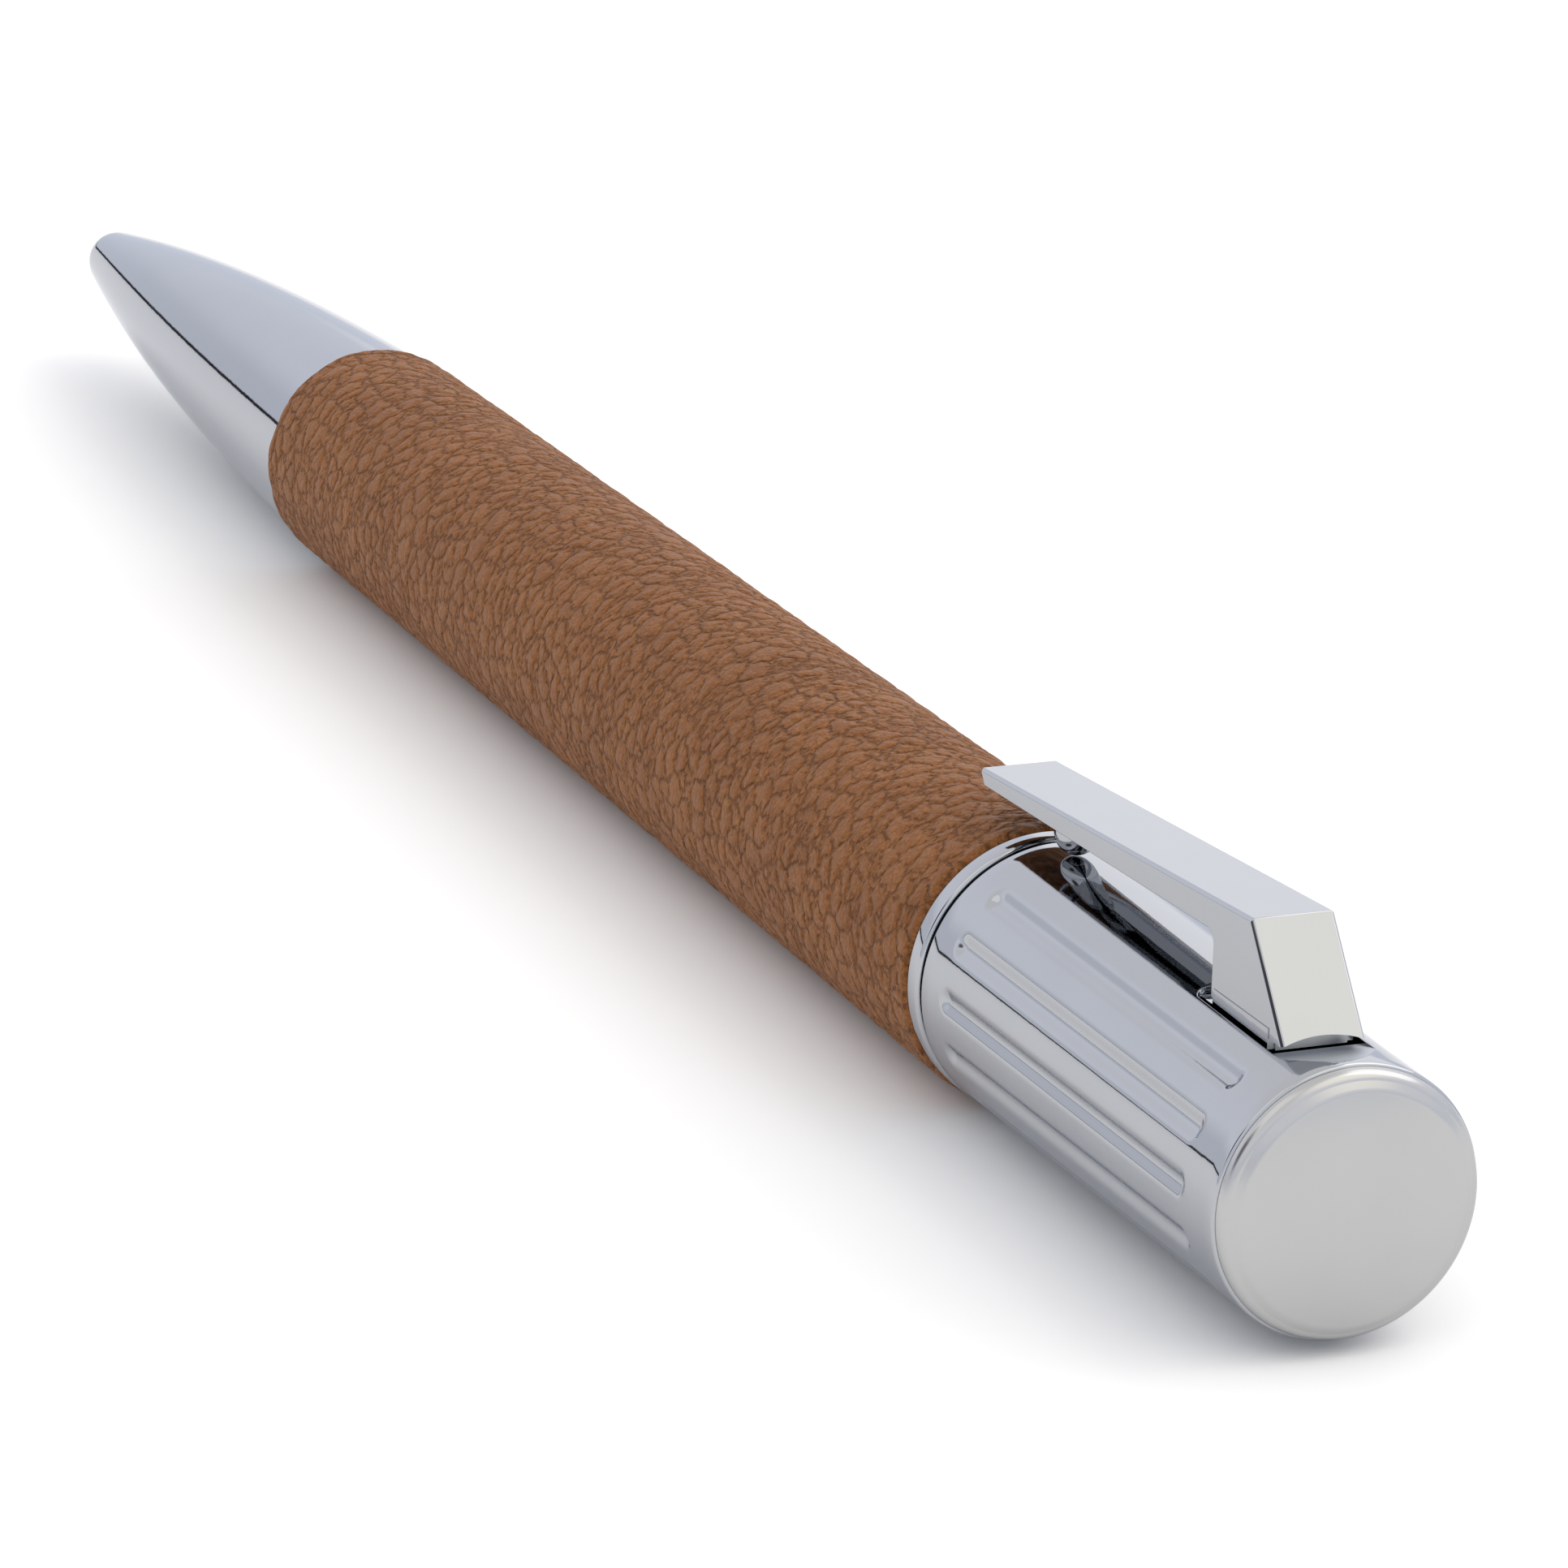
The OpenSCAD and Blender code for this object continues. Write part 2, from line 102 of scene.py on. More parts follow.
# Edges are sharp where their faces turn by more than this.
LATHE_SHARP = 35
PRISM_SHARP = 30
SWEPT_SHARP = 60
NEVER_SHARP = 180


def mesh_object(name, points, faces, sharp):
    """A mesh from (station, across, height) points, with sharp edges past an angle."""
    mesh = bpy.data.meshes.new(name)
    p = np.asarray(points, float)
    placed = np.stack([TIP_X + p[:, 0] * MM, p[:, 1] * MM, AXIS_Z + p[:, 2] * MM], axis=1)
    mesh.from_pydata(placed.tolist(), [], faces)
    obj = bpy.data.objects.new(name, mesh)
    bpy.context.scene.collection.objects.link(obj)
    finish_mesh(obj, sharp)
    return obj


def finish_mesh(obj, sharp):
    """Normals outward, smooth shading, and sharp edges past the angle."""
    bm = bmesh.new()
    bm.from_mesh(obj.data)
    bmesh.ops.recalc_face_normals(bm, faces=bm.faces)
    bm.to_mesh(obj.data)
    bm.free()
    obj.data.shade_smooth()
    obj.data.set_sharp_from_angle(angle=math.radians(sharp))
    obj.data.update()


def bake_modifiers(obj):
    """Replaces the object's mesh by what its modifiers make of it."""
    bpy.context.view_layer.update()
    graph = bpy.context.evaluated_depsgraph_get()
    mesh = bpy.data.meshes.new_from_object(obj.evaluated_get(graph))
    obj.modifiers.clear()
    old = obj.data
    obj.data = mesh
    bpy.data.meshes.remove(old)


def weighted_normals(obj):
    """Keeps large faces flat next to narrow chamfers."""
    modifier = obj.modifiers.new("face_normals", "WEIGHTED_NORMAL")
    modifier.mode = "FACE_AREA"
    modifier.weight = 100
    modifier.keep_sharp = True


def boolean(obj, other, operation):
    """Cuts or joins another object, which is then removed."""
    modifier = obj.modifiers.new(operation, "BOOLEAN")
    modifier.operation = operation
    modifier.solver = "EXACT"
    modifier.object = other
    bake_modifiers(obj)
    bpy.data.objects.remove(other)


def arc(cx, cy, r, a0, a1, n):
    """n + 1 points on an arc."""
    angles = np.radians(np.linspace(a0, a1, n + 1))
    return [(cx + r * math.cos(a), cy + r * math.sin(a)) for a in angles]


def circle(cx, cy, r, n):
    """n points on a circle."""
    return arc(cx, cy, r, 0, 360, n)[:-1]


def bands(rows, n, closed):
    """Faces between rows of n points, each closed on itself, and from the last row to the first if closed."""
    faces = []
    for k in range(rows if closed else rows - 1):
        a = k * n
        b = (k + 1) % rows * n
        faces += [[a + i, a + (i + 1) % n, b + (i + 1) % n, b + i] for i in range(n)]
    return faces


def lathe(name, profile, segments=256, sharp=LATHE_SHARP):
    """A closed solid turned on the pen's axis from a closed loop of (radius, station) points."""
    turn = np.linspace(0, 2 * math.pi, segments, endpoint=False)
    points = []
    rings = []
    for r, s in profile:
        first = len(points)
        if r < 1e-6:
            rings.append([first] * segments)
            points.append((s, 0, 0))
        else:
            rings.append(list(range(first, first + segments)))
            points.extend((s, r * math.sin(a), r * math.cos(a)) for a in turn)
    faces = []
    for k, ring in enumerate(rings):
        following = rings[(k + 1) % len(rings)]
        if ring[0] == ring[1] and following[0] == following[1]:
            continue
        for i in range(segments):
            j = (i + 1) % segments
            faces.append(list(dict.fromkeys([ring[i], ring[j], following[j], following[i]])))
    return mesh_object(name, points, faces, sharp)


def prism(name, outline, half_width):
    """A side-view outline of (station, height) points, extruded across the pen."""
    n = len(outline)
    points = [(s, side * half_width, h) for side in (-1, 1) for s, h in outline]
    faces = [list(range(n)), list(range(2 * n - 1, n - 1, -1))]
    faces += [[i, (i + 1) % n, n + (i + 1) % n, n + i] for i in range(n)]
    return mesh_object(name, points, faces, PRISM_SHARP)


def swept_rings(name, rings, closed=False):
    """Skins a list of equal rings of points. A list that isn't closed gets a cap at each end."""
    count = len(rings)
    n = len(rings[0])
    points = [p for ring in rings for p in ring]
    faces = bands(count, n, closed)
    if not closed:
        faces += [list(range(n)), list(range(count * n - 1, (count - 1) * n - 1, -1))]
    return mesh_object(name, points, faces, SWEPT_SHARP)


# ---- node helpers, shared by materials and geometry nodes ----

# Sockets of the colour Mix node, whose names its other data types share.
MIX_FACTOR = 0
MIX_A = 6
MIX_B = 7
MIX_RESULT = 2


def put(tree, value, socket):
    """Links a socket to another node's output, or sets its value."""
    if isinstance(value, bpy.types.NodeSocket):
        tree.links.new(value, socket)
    else:
        socket.default_value = value


def calc(tree, operation, *values):
    node = tree.nodes.new("ShaderNodeMath")
    node.operation = operation
    for i, value in enumerate(values):
        put(tree, value, node.inputs[i])
    return node.outputs[0]


def product(tree, first, *others):
    for other in others:
        first = calc(tree, "MULTIPLY", first, other)
    return first


def vector(tree, operation, *values):
    node = tree.nodes.new("ShaderNodeVectorMath")
    node.operation = operation
    for i, value in enumerate(values):
        if operation == "SCALE" and i == 1:
            put(tree, value, node.inputs["Scale"])
        else:
            put(tree, value, node.inputs[i])
    return node.outputs["Value" if operation == "DOT_PRODUCT" else "Vector"]


def noise(tree, position, scale, detail=2.0, roughness=0.5, colour=False):
    node = tree.nodes.new("ShaderNodeTexNoise")
    put(tree, position, node.inputs["Vector"])
    node.inputs["Scale"].default_value = scale
    node.inputs["Detail"].default_value = detail
    node.inputs["Roughness"].default_value = roughness
    return node.outputs["Color" if colour else "Fac"]


def flow(tree, position, scale):
    """A smooth random vector whose three parts each lie around 0."""
    colour = noise(tree, position, scale, detail=1.0, colour=True)
    return vector(tree, "SUBTRACT", colour, (0.5, 0.5, 0.5))


def shifted(tree, position, offset, amount):
    return vector(tree, "ADD", position, vector(tree, "SCALE", offset, amount))


def cells(tree, position, size):
    """Irregular cells of a mean size: the distance to the nearest cell wall, in the same unit."""
    node = tree.nodes.new("ShaderNodeTexVoronoi")
    node.voronoi_dimensions = "3D"
    node.feature = "DISTANCE_TO_EDGE"
    put(tree, position, node.inputs["Vector"])
    node.inputs["Scale"].default_value = 1 / size
    return calc(tree, "MULTIPLY", node.outputs["Distance"], size)


def ramp(tree, value, low, high, to_low=0.0, to_high=1.0, smooth=True):
    node = tree.nodes.new("ShaderNodeMapRange")
    node.interpolation_type = "SMOOTHSTEP" if smooth else "LINEAR"
    put(tree, value, node.inputs["Value"])
    node.inputs["From Min"].default_value = low
    node.inputs["From Max"].default_value = high
    node.inputs["To Min"].default_value = to_low
    node.inputs["To Max"].default_value = to_high
    return node.outputs["Result"]


def fade_out(tree, value, low, high):
    """1 below low and 0 above high."""
    return ramp(tree, value, low, high, 1.0, 0.0)


def mix(tree, factor, a, b):
    node = tree.nodes.new("ShaderNodeMix")
    node.data_type = "RGBA"
    put(tree, factor, node.inputs[MIX_FACTOR])
    put(tree, a, node.inputs[MIX_A])
    put(tree, b, node.inputs[MIX_B])
    return node.outputs[MIX_RESULT]


def rgb(r, g, b):
    return (r, g, b, 1.0)


# ---- the leather's pattern, read by its material and by its relief ----

CLUSTER = 1.0  # mean size of a cluster of pebbles
PEBBLE = 0.4  # mean size of a pebble
CLUSTER_BEND = 0.7  # how far slow noise bends the clusters
CLUSTER_JITTER = 0.34  # how far fine noise moves their borders
PEBBLE_JITTER = 0.24  # how far fine noise moves the pebbles' borders
BORDER_REACH = 0.13  # from a cluster's border to the end of its deep crease
SLOPE_REACH = 0.32  # from a cluster's border to the end of its rounded side
CREASE_REACH = 0.1  # from a pebble's border to the end of its crease
SLOPE_POWER = 1.6
SLOPE_DEPTH = 0.11
SWELL_DEPTH = 0.03
CREASE_DEPTH = 0.03  # depth of the creases inside a cluster
BORDER_DEPTH = 0.05  # how much deeper they are at its border
FAINTEST_GRAIN = 0.75  # share of the depth that is left where the hide is smoothest


def barrel_position(tree, metres):
    """The position in mm, brought to the barrel's radius, so that the relief doesn't change the pattern."""
    centred = vector(tree, "SUBTRACT", metres, (0.0, 0.0, AXIS_Z))
    along = vector(tree, "MULTIPLY", centred, (1 / MM, 0.0, 0.0))
    radial = vector(tree, "NORMALIZE", vector(tree, "MULTIPLY", centred, (0.0, 1.0, 1.0)))
    return shifted(tree, along, radial, LEATHER_R)


def at_wall(tree, distance, reach, smooth=True):
    """1 at a cell's wall, falling to 0 at a distance from it."""
    return calc(tree, "SUBTRACT", 1.0, ramp(tree, distance, 0.0, reach, smooth=smooth))


def grain(tree, metres):
    """Pebbled leather on the barrel: clusters of small pebbles, with the deepest creases between clusters.
    Returns the clusters' depth and the creases' depth in mm, how near a cluster's border is, the small
    creases and the position in mm."""
    place = barrel_position(tree, metres)
    bend = flow(tree, place, scale=0.75)
    jitter = flow(tree, place, scale=3.2)
    bent = shifted(tree, shifted(tree, place, bend, CLUSTER_BEND), jitter, CLUSTER_JITTER)
    cluster_wall = cells(tree, bent, CLUSTER)
    pebble_wall = cells(tree, shifted(tree, place, jitter, PEBBLE_JITTER), PEBBLE)
    border = at_wall(tree, cluster_wall, BORDER_REACH)
    slope = at_wall(tree, cluster_wall, SLOPE_REACH, smooth=False)
    crease = at_wall(tree, pebble_wall, CREASE_REACH)
    hide = noise(tree, place, scale=0.33, detail=1.0)
    strength = ramp(tree, hide, 0.3, 0.7, FAINTEST_GRAIN, 1.0)
    wide = product(tree, calc(tree, "POWER", slope, SLOPE_POWER), SLOPE_DEPTH)
    swell = product(tree, noise(tree, place, scale=0.9), SWELL_DEPTH)
    coarse = calc(tree, "MULTIPLY_ADD", wide, strength, swell)
    depth = calc(tree, "MULTIPLY_ADD", border, BORDER_DEPTH, CREASE_DEPTH)
    deep = product(tree, depth, crease, strength)
    return coarse, deep, border, crease, place


# ---- materials ----

def material(name):
    mat = bpy.data.materials.new(name)
    mat.use_nodes = True
    tree = mat.node_tree
    shader = tree.nodes["Principled BSDF"]
    place = tree.nodes.new("ShaderNodeTexCoord").outputs["Object"]
    return mat, tree, shader, place


def in_mm(tree, place):
    return vector(tree, "SCALE", place, 1 / MM)


def bump(tree, shader, relief, depth):
    """Bump from a relief, whose values are multiplied by a depth in mm."""
    node = tree.nodes.new("ShaderNodeBump")
    node.inputs["Strength"].default_value = 1.0
    node.inputs["Distance"].default_value = depth * MM
    put(tree, relief, node.inputs["Height"])
    tree.links.new(node.outputs["Normal"], shader.inputs["Normal"])


CHROME_EDGE_TINT = rgb(0.8, 0.81, 0.84)
CHROME_HAZE = 0.04
CHROME_RIPPLE = 0.0022


def chrome_material(name, softness, low, high):
    """Plated chrome: an even coat, with the faintest haze where it has been handled, and an edge tint that
    keeps it from whitening at grazing angles."""
    mat, tree, shader, place = material(name)
    mm = in_mm(tree, place)
    shader.inputs["Metallic"].default_value = 1.0
    shader.inputs["Specular Tint"].default_value = CHROME_EDGE_TINT
    haze = noise(tree, mm, scale=0.35, detail=3.0, roughness=0.6)
    tree.links.new(mix(tree, haze, low, high), shader.inputs["Base Color"])
    rough = calc(tree, "MULTIPLY_ADD", haze, CHROME_HAZE, softness)
    rough = calc(tree, "MULTIPLY_ADD", noise(tree, mm, scale=9.0), CHROME_HAZE / 2, rough)
    tree.links.new(rough, shader.inputs["Roughness"])
    bump(tree, shader, noise(tree, mm, scale=1.1), CHROME_RIPPLE)
    return mat


LEATHER_BROWN = rgb(0.214, 0.075, 0.0157)
LEATHER_COGNAC = rgb(0.263, 0.098, 0.0234)
LEATHER_BLOTCH = rgb(0.335, 0.138, 0.045)
# Painted shade: a darker brown near each cluster's border, where shade falls between the clusters.
LEATHER_BORDER_SHADE = rgb(0.14, 0.048, 0.009)
# Painted shade: a darker brown in the creases, where shade falls.
LEATHER_CREASE_SHADE = rgb(0.1, 0.031, 0.005)
LEATHER_PORE = rgb(0.12, 0.044, 0.012)
LEATHER_FLECK = rgb(0.42, 0.19, 0.08)
LEATHER_SHEEN = rgb(1.0, 0.6, 0.4)
# How strongly each shows.
BLOTCH_SHARE = 0.4
# Painted shade near the clusters' borders.
BORDER_SHADE_SHARE = 0.12
# Painted shade in the creases, stronger near the clusters' borders.
CREASE_SHADE_SHARE = 0.17
BORDER_CREASE_SHADE_SHARE = 0.46
PORE_SHARE = 0.34
FLECK_SHARE = 0.35
# Bump, in mm for pores and as a share of the pattern's own depths.
PORE_DEPTH = 0.06
CLUSTER_BUMP = 1.3
CREASE_BUMP = 1.08


def leather_colour(tree, place, border, crease):
    """Brown that drifts and blotches a little, painted shade in creases and at cluster borders, dark pores,
    pale flecks.
    """
    drift = ramp(tree, noise(tree, place, scale=0.22, detail=3.0, roughness=0.6), 0.3, 0.7)
    body = mix(tree, drift, LEATHER_BROWN, LEATHER_COGNAC)
    blotch = ramp(tree, noise(tree, place, scale=1.3, detail=3.0, roughness=0.65), 0.4, 0.7)
    body = mix(tree, product(tree, blotch, BLOTCH_SHARE), body, LEATHER_BLOTCH)
    # Painted shade near the clusters' borders.
    body = mix(tree, product(tree, border, BORDER_SHADE_SHARE), body, LEATHER_BORDER_SHADE)
    # Painted shade in the creases, stronger near the clusters' borders.
    dark = product(tree, crease, calc(tree, "MULTIPLY_ADD", border, BORDER_CREASE_SHADE_SHARE, CREASE_SHADE_SHARE))
    body = mix(tree, dark, body, LEATHER_CREASE_SHADE)
    speck = noise(tree, place, scale=9.0, roughness=0.7)
    body = mix(tree, ramp(tree, speck, 0.42, 0.62, 0.0, PORE_SHARE), body, LEATHER_PORE)
    return mix(tree, ramp(tree, speck, 0.42, 0.28, 0.0, FLECK_SHARE), body, LEATHER_FLECK)


def leather_material():
    """Cognac leather: soft sheen, rougher in the creases, with fine creases and pores as bump."""
    mat, tree, shader, metres = material("cognac_leather")
    coarse, deep, border, crease, place = grain(tree, metres)
    tree.links.new(leather_colour(tree, place, border, crease), shader.inputs["Base Color"])
    tree.links.new(calc(tree, "MULTIPLY_ADD", border, 0.14, 0.54), shader.inputs["Roughness"])
    shader.inputs["Specular IOR Level"].default_value = 0.22
    shader.inputs["Sheen Weight"].default_value = 0.05
    shader.inputs["Sheen Roughness"].default_value = 0.3
    shader.inputs["Sheen Tint"].default_value = LEATHER_SHEEN
    pores = product(tree, noise(tree, place, scale=7.5, detail=3.0, roughness=0.65), PORE_DEPTH)
    relief = calc(tree, "ADD", product(tree, coarse, CLUSTER_BUMP), product(tree, deep, CREASE_BUMP))
    bump(tree, shader, calc(tree, "SUBTRACT", pores, relief), depth=1)
    return mat


LATHE_LINES = (1.0, 0.15, 0.15)  # squeezes noise along the pen, so that its lines run round it
TOOL_MARK_DEPTH = 0.006


def metal_material(name, low, high, roughness, lines_per_mm=6.0):
    """Machined or drawn metal: fine tool lines round the pen's axis and a little colour variation."""
    mat, tree, shader, place = material(name)
    mm = in_mm(tree, place)
    shader.inputs["Metallic"].default_value = 1.0
    lines = noise(tree, vector(tree, "MULTIPLY", mm, LATHE_LINES), lines_per_mm, roughness=0.6)
    cloud = noise(tree, mm, scale=0.5, detail=3.0)
    tree.links.new(mix(tree, cloud, low, high), shader.inputs["Base Color"])
    tree.links.new(calc(tree, "MULTIPLY_ADD", lines, 0.14, roughness), shader.inputs["Roughness"])
    bump(tree, shader, lines, TOOL_MARK_DEPTH)
    return mat


MOULD_TEXTURE_DEPTH = 0.012


def plastic_material(name, low, high, roughness, texture_scale=4.0):
    """Moulded plastic or rubber: a faint mottle in its colour and a fine texture."""
    mat, tree, shader, place = material(name)
    mm = in_mm(tree, place)
    cloud = noise(tree, mm, scale=0.6, detail=3.0)
    fine = noise(tree, mm, texture_scale, detail=3.0, roughness=0.6)
    tree.links.new(mix(tree, cloud, low, high), shader.inputs["Base Color"])
    tree.links.new(calc(tree, "MULTIPLY_ADD", fine, 0.15, roughness), shader.inputs["Roughness"])
    bump(tree, shader, fine, MOULD_TEXTURE_DEPTH)
    return mat


STRANDS = (0.12, 1.0, 1.0)  # stretches noise along the pen
STRAND_DEPTH = 0.04


def fibre_material():
    """Ink-soaked fibre: strands along the pen."""
    mat, tree, shader, place = material("ink_fibre")
    stretched = vector(tree, "MULTIPLY", in_mm(tree, place), STRANDS)
    strands = noise(tree, stretched, scale=9.0, detail=3.0, roughness=0.65)
    tone = mix(tree, strands, rgb(0.01, 0.014, 0.07), rgb(0.035, 0.05, 0.17))
    tree.links.new(tone, shader.inputs["Base Color"])
    tree.links.new(calc(tree, "MULTIPLY_ADD", strands, 0.2, 0.7), shader.inputs["Roughness"])
    bump(tree, shader, strands, STRAND_DEPTH)
    return mat


def floor_material():
    """Matt white paper with a faint mottle."""
    mat, tree, shader, place = material("floor_paper")
    mottle = noise(tree, place, scale=60.0, detail=4.0, roughness=0.6)
    tone = mix(tree, mottle, rgb(0.93, 0.93, 0.93), rgb(0.95, 0.95, 0.95))
    tree.links.new(tone, shader.inputs["Base Color"])
    shader.inputs["Roughness"].default_value = 0.9
    shader.inputs["Specular IOR Level"].default_value = 0.1
    return mat


# ---- nose, trim ring and end cap ----

def dress(obj, body, mat, node):
    """Gives a new piece its material and its body, and hides the CAD node that it stands for."""
    obj.data.materials.clear()
    obj.data.materials.append(mat)
    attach(obj, body)
    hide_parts(node)


NOSE_TIP_R = 1.45
NOSE_BASE_R = 4.88
NOSE_BULGE = 0.64  # how far the side bulges at its middle
NOSE_SKEW = 0.18  # how much of the bulge lies towards the tip
NOSE_HOLE_R = 1.22
NOSE_LIP = 0.04  # flat left round the hole
NOSE_ROWS = 90
# Radius and front end of each bore, from the leather to the tip.
NOSE_BORES = [(4.0, NOSE_S - 7.5), (3.15, 20.5), (2.5, 14.0), (1.95, 7.0), (NOSE_HOLE_R, NOSE_LIP)]


def nose_radius(t):
    """Radius of the nose's side, t = 0 at its front face and 1 at the leather."""
    straight = NOSE_TIP_R * (1 - t) + NOSE_BASE_R * t
    return straight + 4 * NOSE_BULGE * t * (1 - t) * (1 + NOSE_SKEW * (1 - 2 * t))


def build_nose(chrome):
    """An ogive with a rounded front edge and stepped bores."""
    edge = NOSE_TIP_R - NOSE_HOLE_R - NOSE_LIP
    profile = arc(NOSE_TIP_R - edge, edge, edge, -90, -8, 10)
    profile += [(nose_radius(i / NOSE_ROWS), NOSE_S * i / NOSE_ROWS) for i in range(1, NOSE_ROWS + 1)]
    start = NOSE_S
    for radius, end in NOSE_BORES:
        profile += [(radius, start), (radius, end)]
        start = end
    obj = lathe("nose_shell", profile)
    dress(obj, "barrel", chrome, "nose_cone")


RING_BORE_R = 4.05
RING_EDGE_R = 0.16


def build_ring(chrome):
    """A narrow band with both edges rounded."""
    r = RING_R - RING_EDGE_R
    profile = [(RING_BORE_R, RING_S)]
    profile += arc(r, RING_S + RING_EDGE_R, RING_EDGE_R, -90, 0, 6)
    profile += arc(r, GAP_S - RING_EDGE_R, RING_EDGE_R, 0, 90, 6)
    profile += [(RING_BORE_R, GAP_S)]
    obj = lathe("trim_ring_band", profile)
    dress(obj, "barrel", chrome, "trim_ring")


CAP_EDGE_R = 0.42
CAP_CROWN_SLOPE = 12  # of the crown where the rounded edge takes over
CAP_CROWN_ROWS = 26
CAP_UNDERCUT = 0.03
CAP_SPIGOT_L = 1.4
CAP_HOLE_R = 1.2


def build_cap(chrome):
    """A low dome with a rounded edge, a spigot that goes into the sleeve and the hole for its screw."""
    r = CAP_R - CAP_EDGE_R
    slope = math.radians(CAP_CROWN_SLOPE)
    crown_r = (CAP_R - CAP_EDGE_R * (1 - math.sin(slope))) / math.sin(slope)
    spigot_s = SEAM_S - CAP_SPIGOT_L
    profile = [(CAP_HOLE_R, spigot_s), (SLEEVE_BORE_R, spigot_s), (SLEEVE_BORE_R, SEAM_S)]
    profile += [(CAP_R - CAP_UNDERCUT, SEAM_S)]
    profile += arc(r, SEAM_S + CAP_UNDERCUT, CAP_EDGE_R, 0, 90 - CAP_CROWN_SLOPE, 14)
    for i in range(1, CAP_CROWN_ROWS):
        a = slope * (1 - i / CAP_CROWN_ROWS)
        profile.append((crown_r * math.sin(a), END_S - crown_r * (1 - math.cos(a))))
    profile += [(0.0, END_S), (0.0, SEAM_S), (CAP_HOLE_R, SEAM_S)]
    obj = lathe("end_cap_dome", [(radius, min(s, END_S)) for radius, s in profile])
    dress(obj, "upper", chrome, "end_cap")


# ---- leather ----

LEATHER_EDGE_R = 0.34
LEATHER_STEP = 0.166
LEATHER_SEGMENTS = 208
EDGE_SEED = 7
EDGE_WAVES = range(2, 15)
FRONT_ROLL_L = 0.45  # reach of the rolled front edge
REAR_ROLL_L = 0.4
ROLL_DEPTH = 0.085
PULL_BACK = 0.07  # how far the front edge wanders along the pen
PULL_BACK_L = 1.2
REAR_ROLL = 0.6  # against the front one
SEAM_DEPTH = 0.16
SEAM_HALF_W = 0.09
RELIEF_SHARE = 0.6  # how much of the clusters' depth is real relief
RELIEF_FADE_H = 0.12  # height above the flat where the relief is whole
RELIEF_FADE_L = 0.5  # distance from an edge where the relief is whole
EDGE_RELIEF = 0.25  # what is left of it at the edge


def leather_profile():
    """Closed (radius, station) loop of the leather tube, fine on its outside."""
    e = LEATHER_EDGE_R
    r = LEATHER_R - e
    s0 = LEATHER_S0 + e
    s1 = LEATHER_S1 - e
    side = [(LEATHER_R, s) for s in np.linspace(s0, s1, int((s1 - s0) / LEATHER_STEP))[1:-1]]
    outside = arc(r, s0, e, -90, 0, 6) + side + arc(r, s1, e, 0, 90, 6)
    return [(TUBE_R, LEATHER_S0)] + outside + [(TUBE_R, LEATHER_S1)]


def edge_wander(turn):
    """How far the cut edges wander round the barrel: slow waves added up, scaled from 0 to 1."""
    rng = np.random.default_rng(EDGE_SEED)
    wander = np.zeros(len(turn))
    for k in EDGE_WAVES:
        size = rng.normal() / math.sqrt(k)
        phase = rng.uniform(0, 2 * math.pi)
        wander += size * np.cos(k * turn + phase)
    return (wander - wander.min()) / np.ptp(wander)


def press_leather(s, y, h, r, outer):
    """Moves the tube's points: soft rolled edges that wander, a butt seam underneath and a flat along it."""
    wander = edge_wander(np.arctan2(y, -h))
    front_roll = np.exp(-((s - LEATHER_S0) / FRONT_ROLL_L) ** 2)
    rear_roll = REAR_ROLL * np.exp(-((LEATHER_S1 - s) / REAR_ROLL_L) ** 2)
    depth = ROLL_DEPTH * wander * (front_roll + rear_roll)
    inward = np.where(outer, depth * (r - TUBE_R) / (LEATHER_R - TUBE_R), 0.0)
    seam = SEAM_DEPTH * np.exp(-(y / SEAM_HALF_W) ** 2) * (h < 0) * outer
    pull = PULL_BACK * wander * np.clip(1 - (s - LEATHER_S0) / PULL_BACK_L, 0, 1)
    scale = (r - inward - seam) / r
    return s + np.where(outer, pull, 0.0), y * scale, np.maximum(h * scale, FLOOR_H)


def leather_relief_group():
    """Geometry nodes that press the grain into the leather, by the weight in a vertex attribute."""
    tree = bpy.data.node_groups.new("leather_relief", "GeometryNodeTree")
    tree.interface.new_socket("Geometry", in_out="INPUT", socket_type="NodeSocketGeometry")
    tree.interface.new_socket("Geometry", in_out="OUTPUT", socket_type="NodeSocketGeometry")
    start = tree.nodes.new("NodeGroupInput")
    end = tree.nodes.new("NodeGroupOutput")
    place = tree.nodes.new("GeometryNodeInputPosition").outputs["Position"]
    normal = tree.nodes.new("GeometryNodeInputNormal").outputs["Normal"]
    weight = tree.nodes.new("GeometryNodeInputNamedAttribute")
    weight.data_type = "FLOAT"
    weight.inputs["Name"].default_value = "grain_weight"
    coarse = grain(tree, place)[0]
    amount = product(tree, coarse, weight.outputs["Attribute"], -RELIEF_SHARE * MM)
    move = tree.nodes.new("GeometryNodeSetPosition")
    tree.links.new(start.outputs[0], move.inputs["Geometry"])
    put(tree, vector(tree, "SCALE", normal, amount), move.inputs["Offset"])
    tree.links.new(move.outputs["Geometry"], end.inputs[0])
    return tree


def add_relief(obj, weights):
    """Real pebbled relief, as strong as each vertex's weight."""
    attribute = obj.data.attributes.new("grain_weight", "FLOAT", "POINT")
    attribute.data.foreach_set("value", weights.astype(np.float32))
    modifier = obj.modifiers.new("relief", "NODES")
    modifier.node_group = leather_relief_group()
    bake_modifiers(obj)


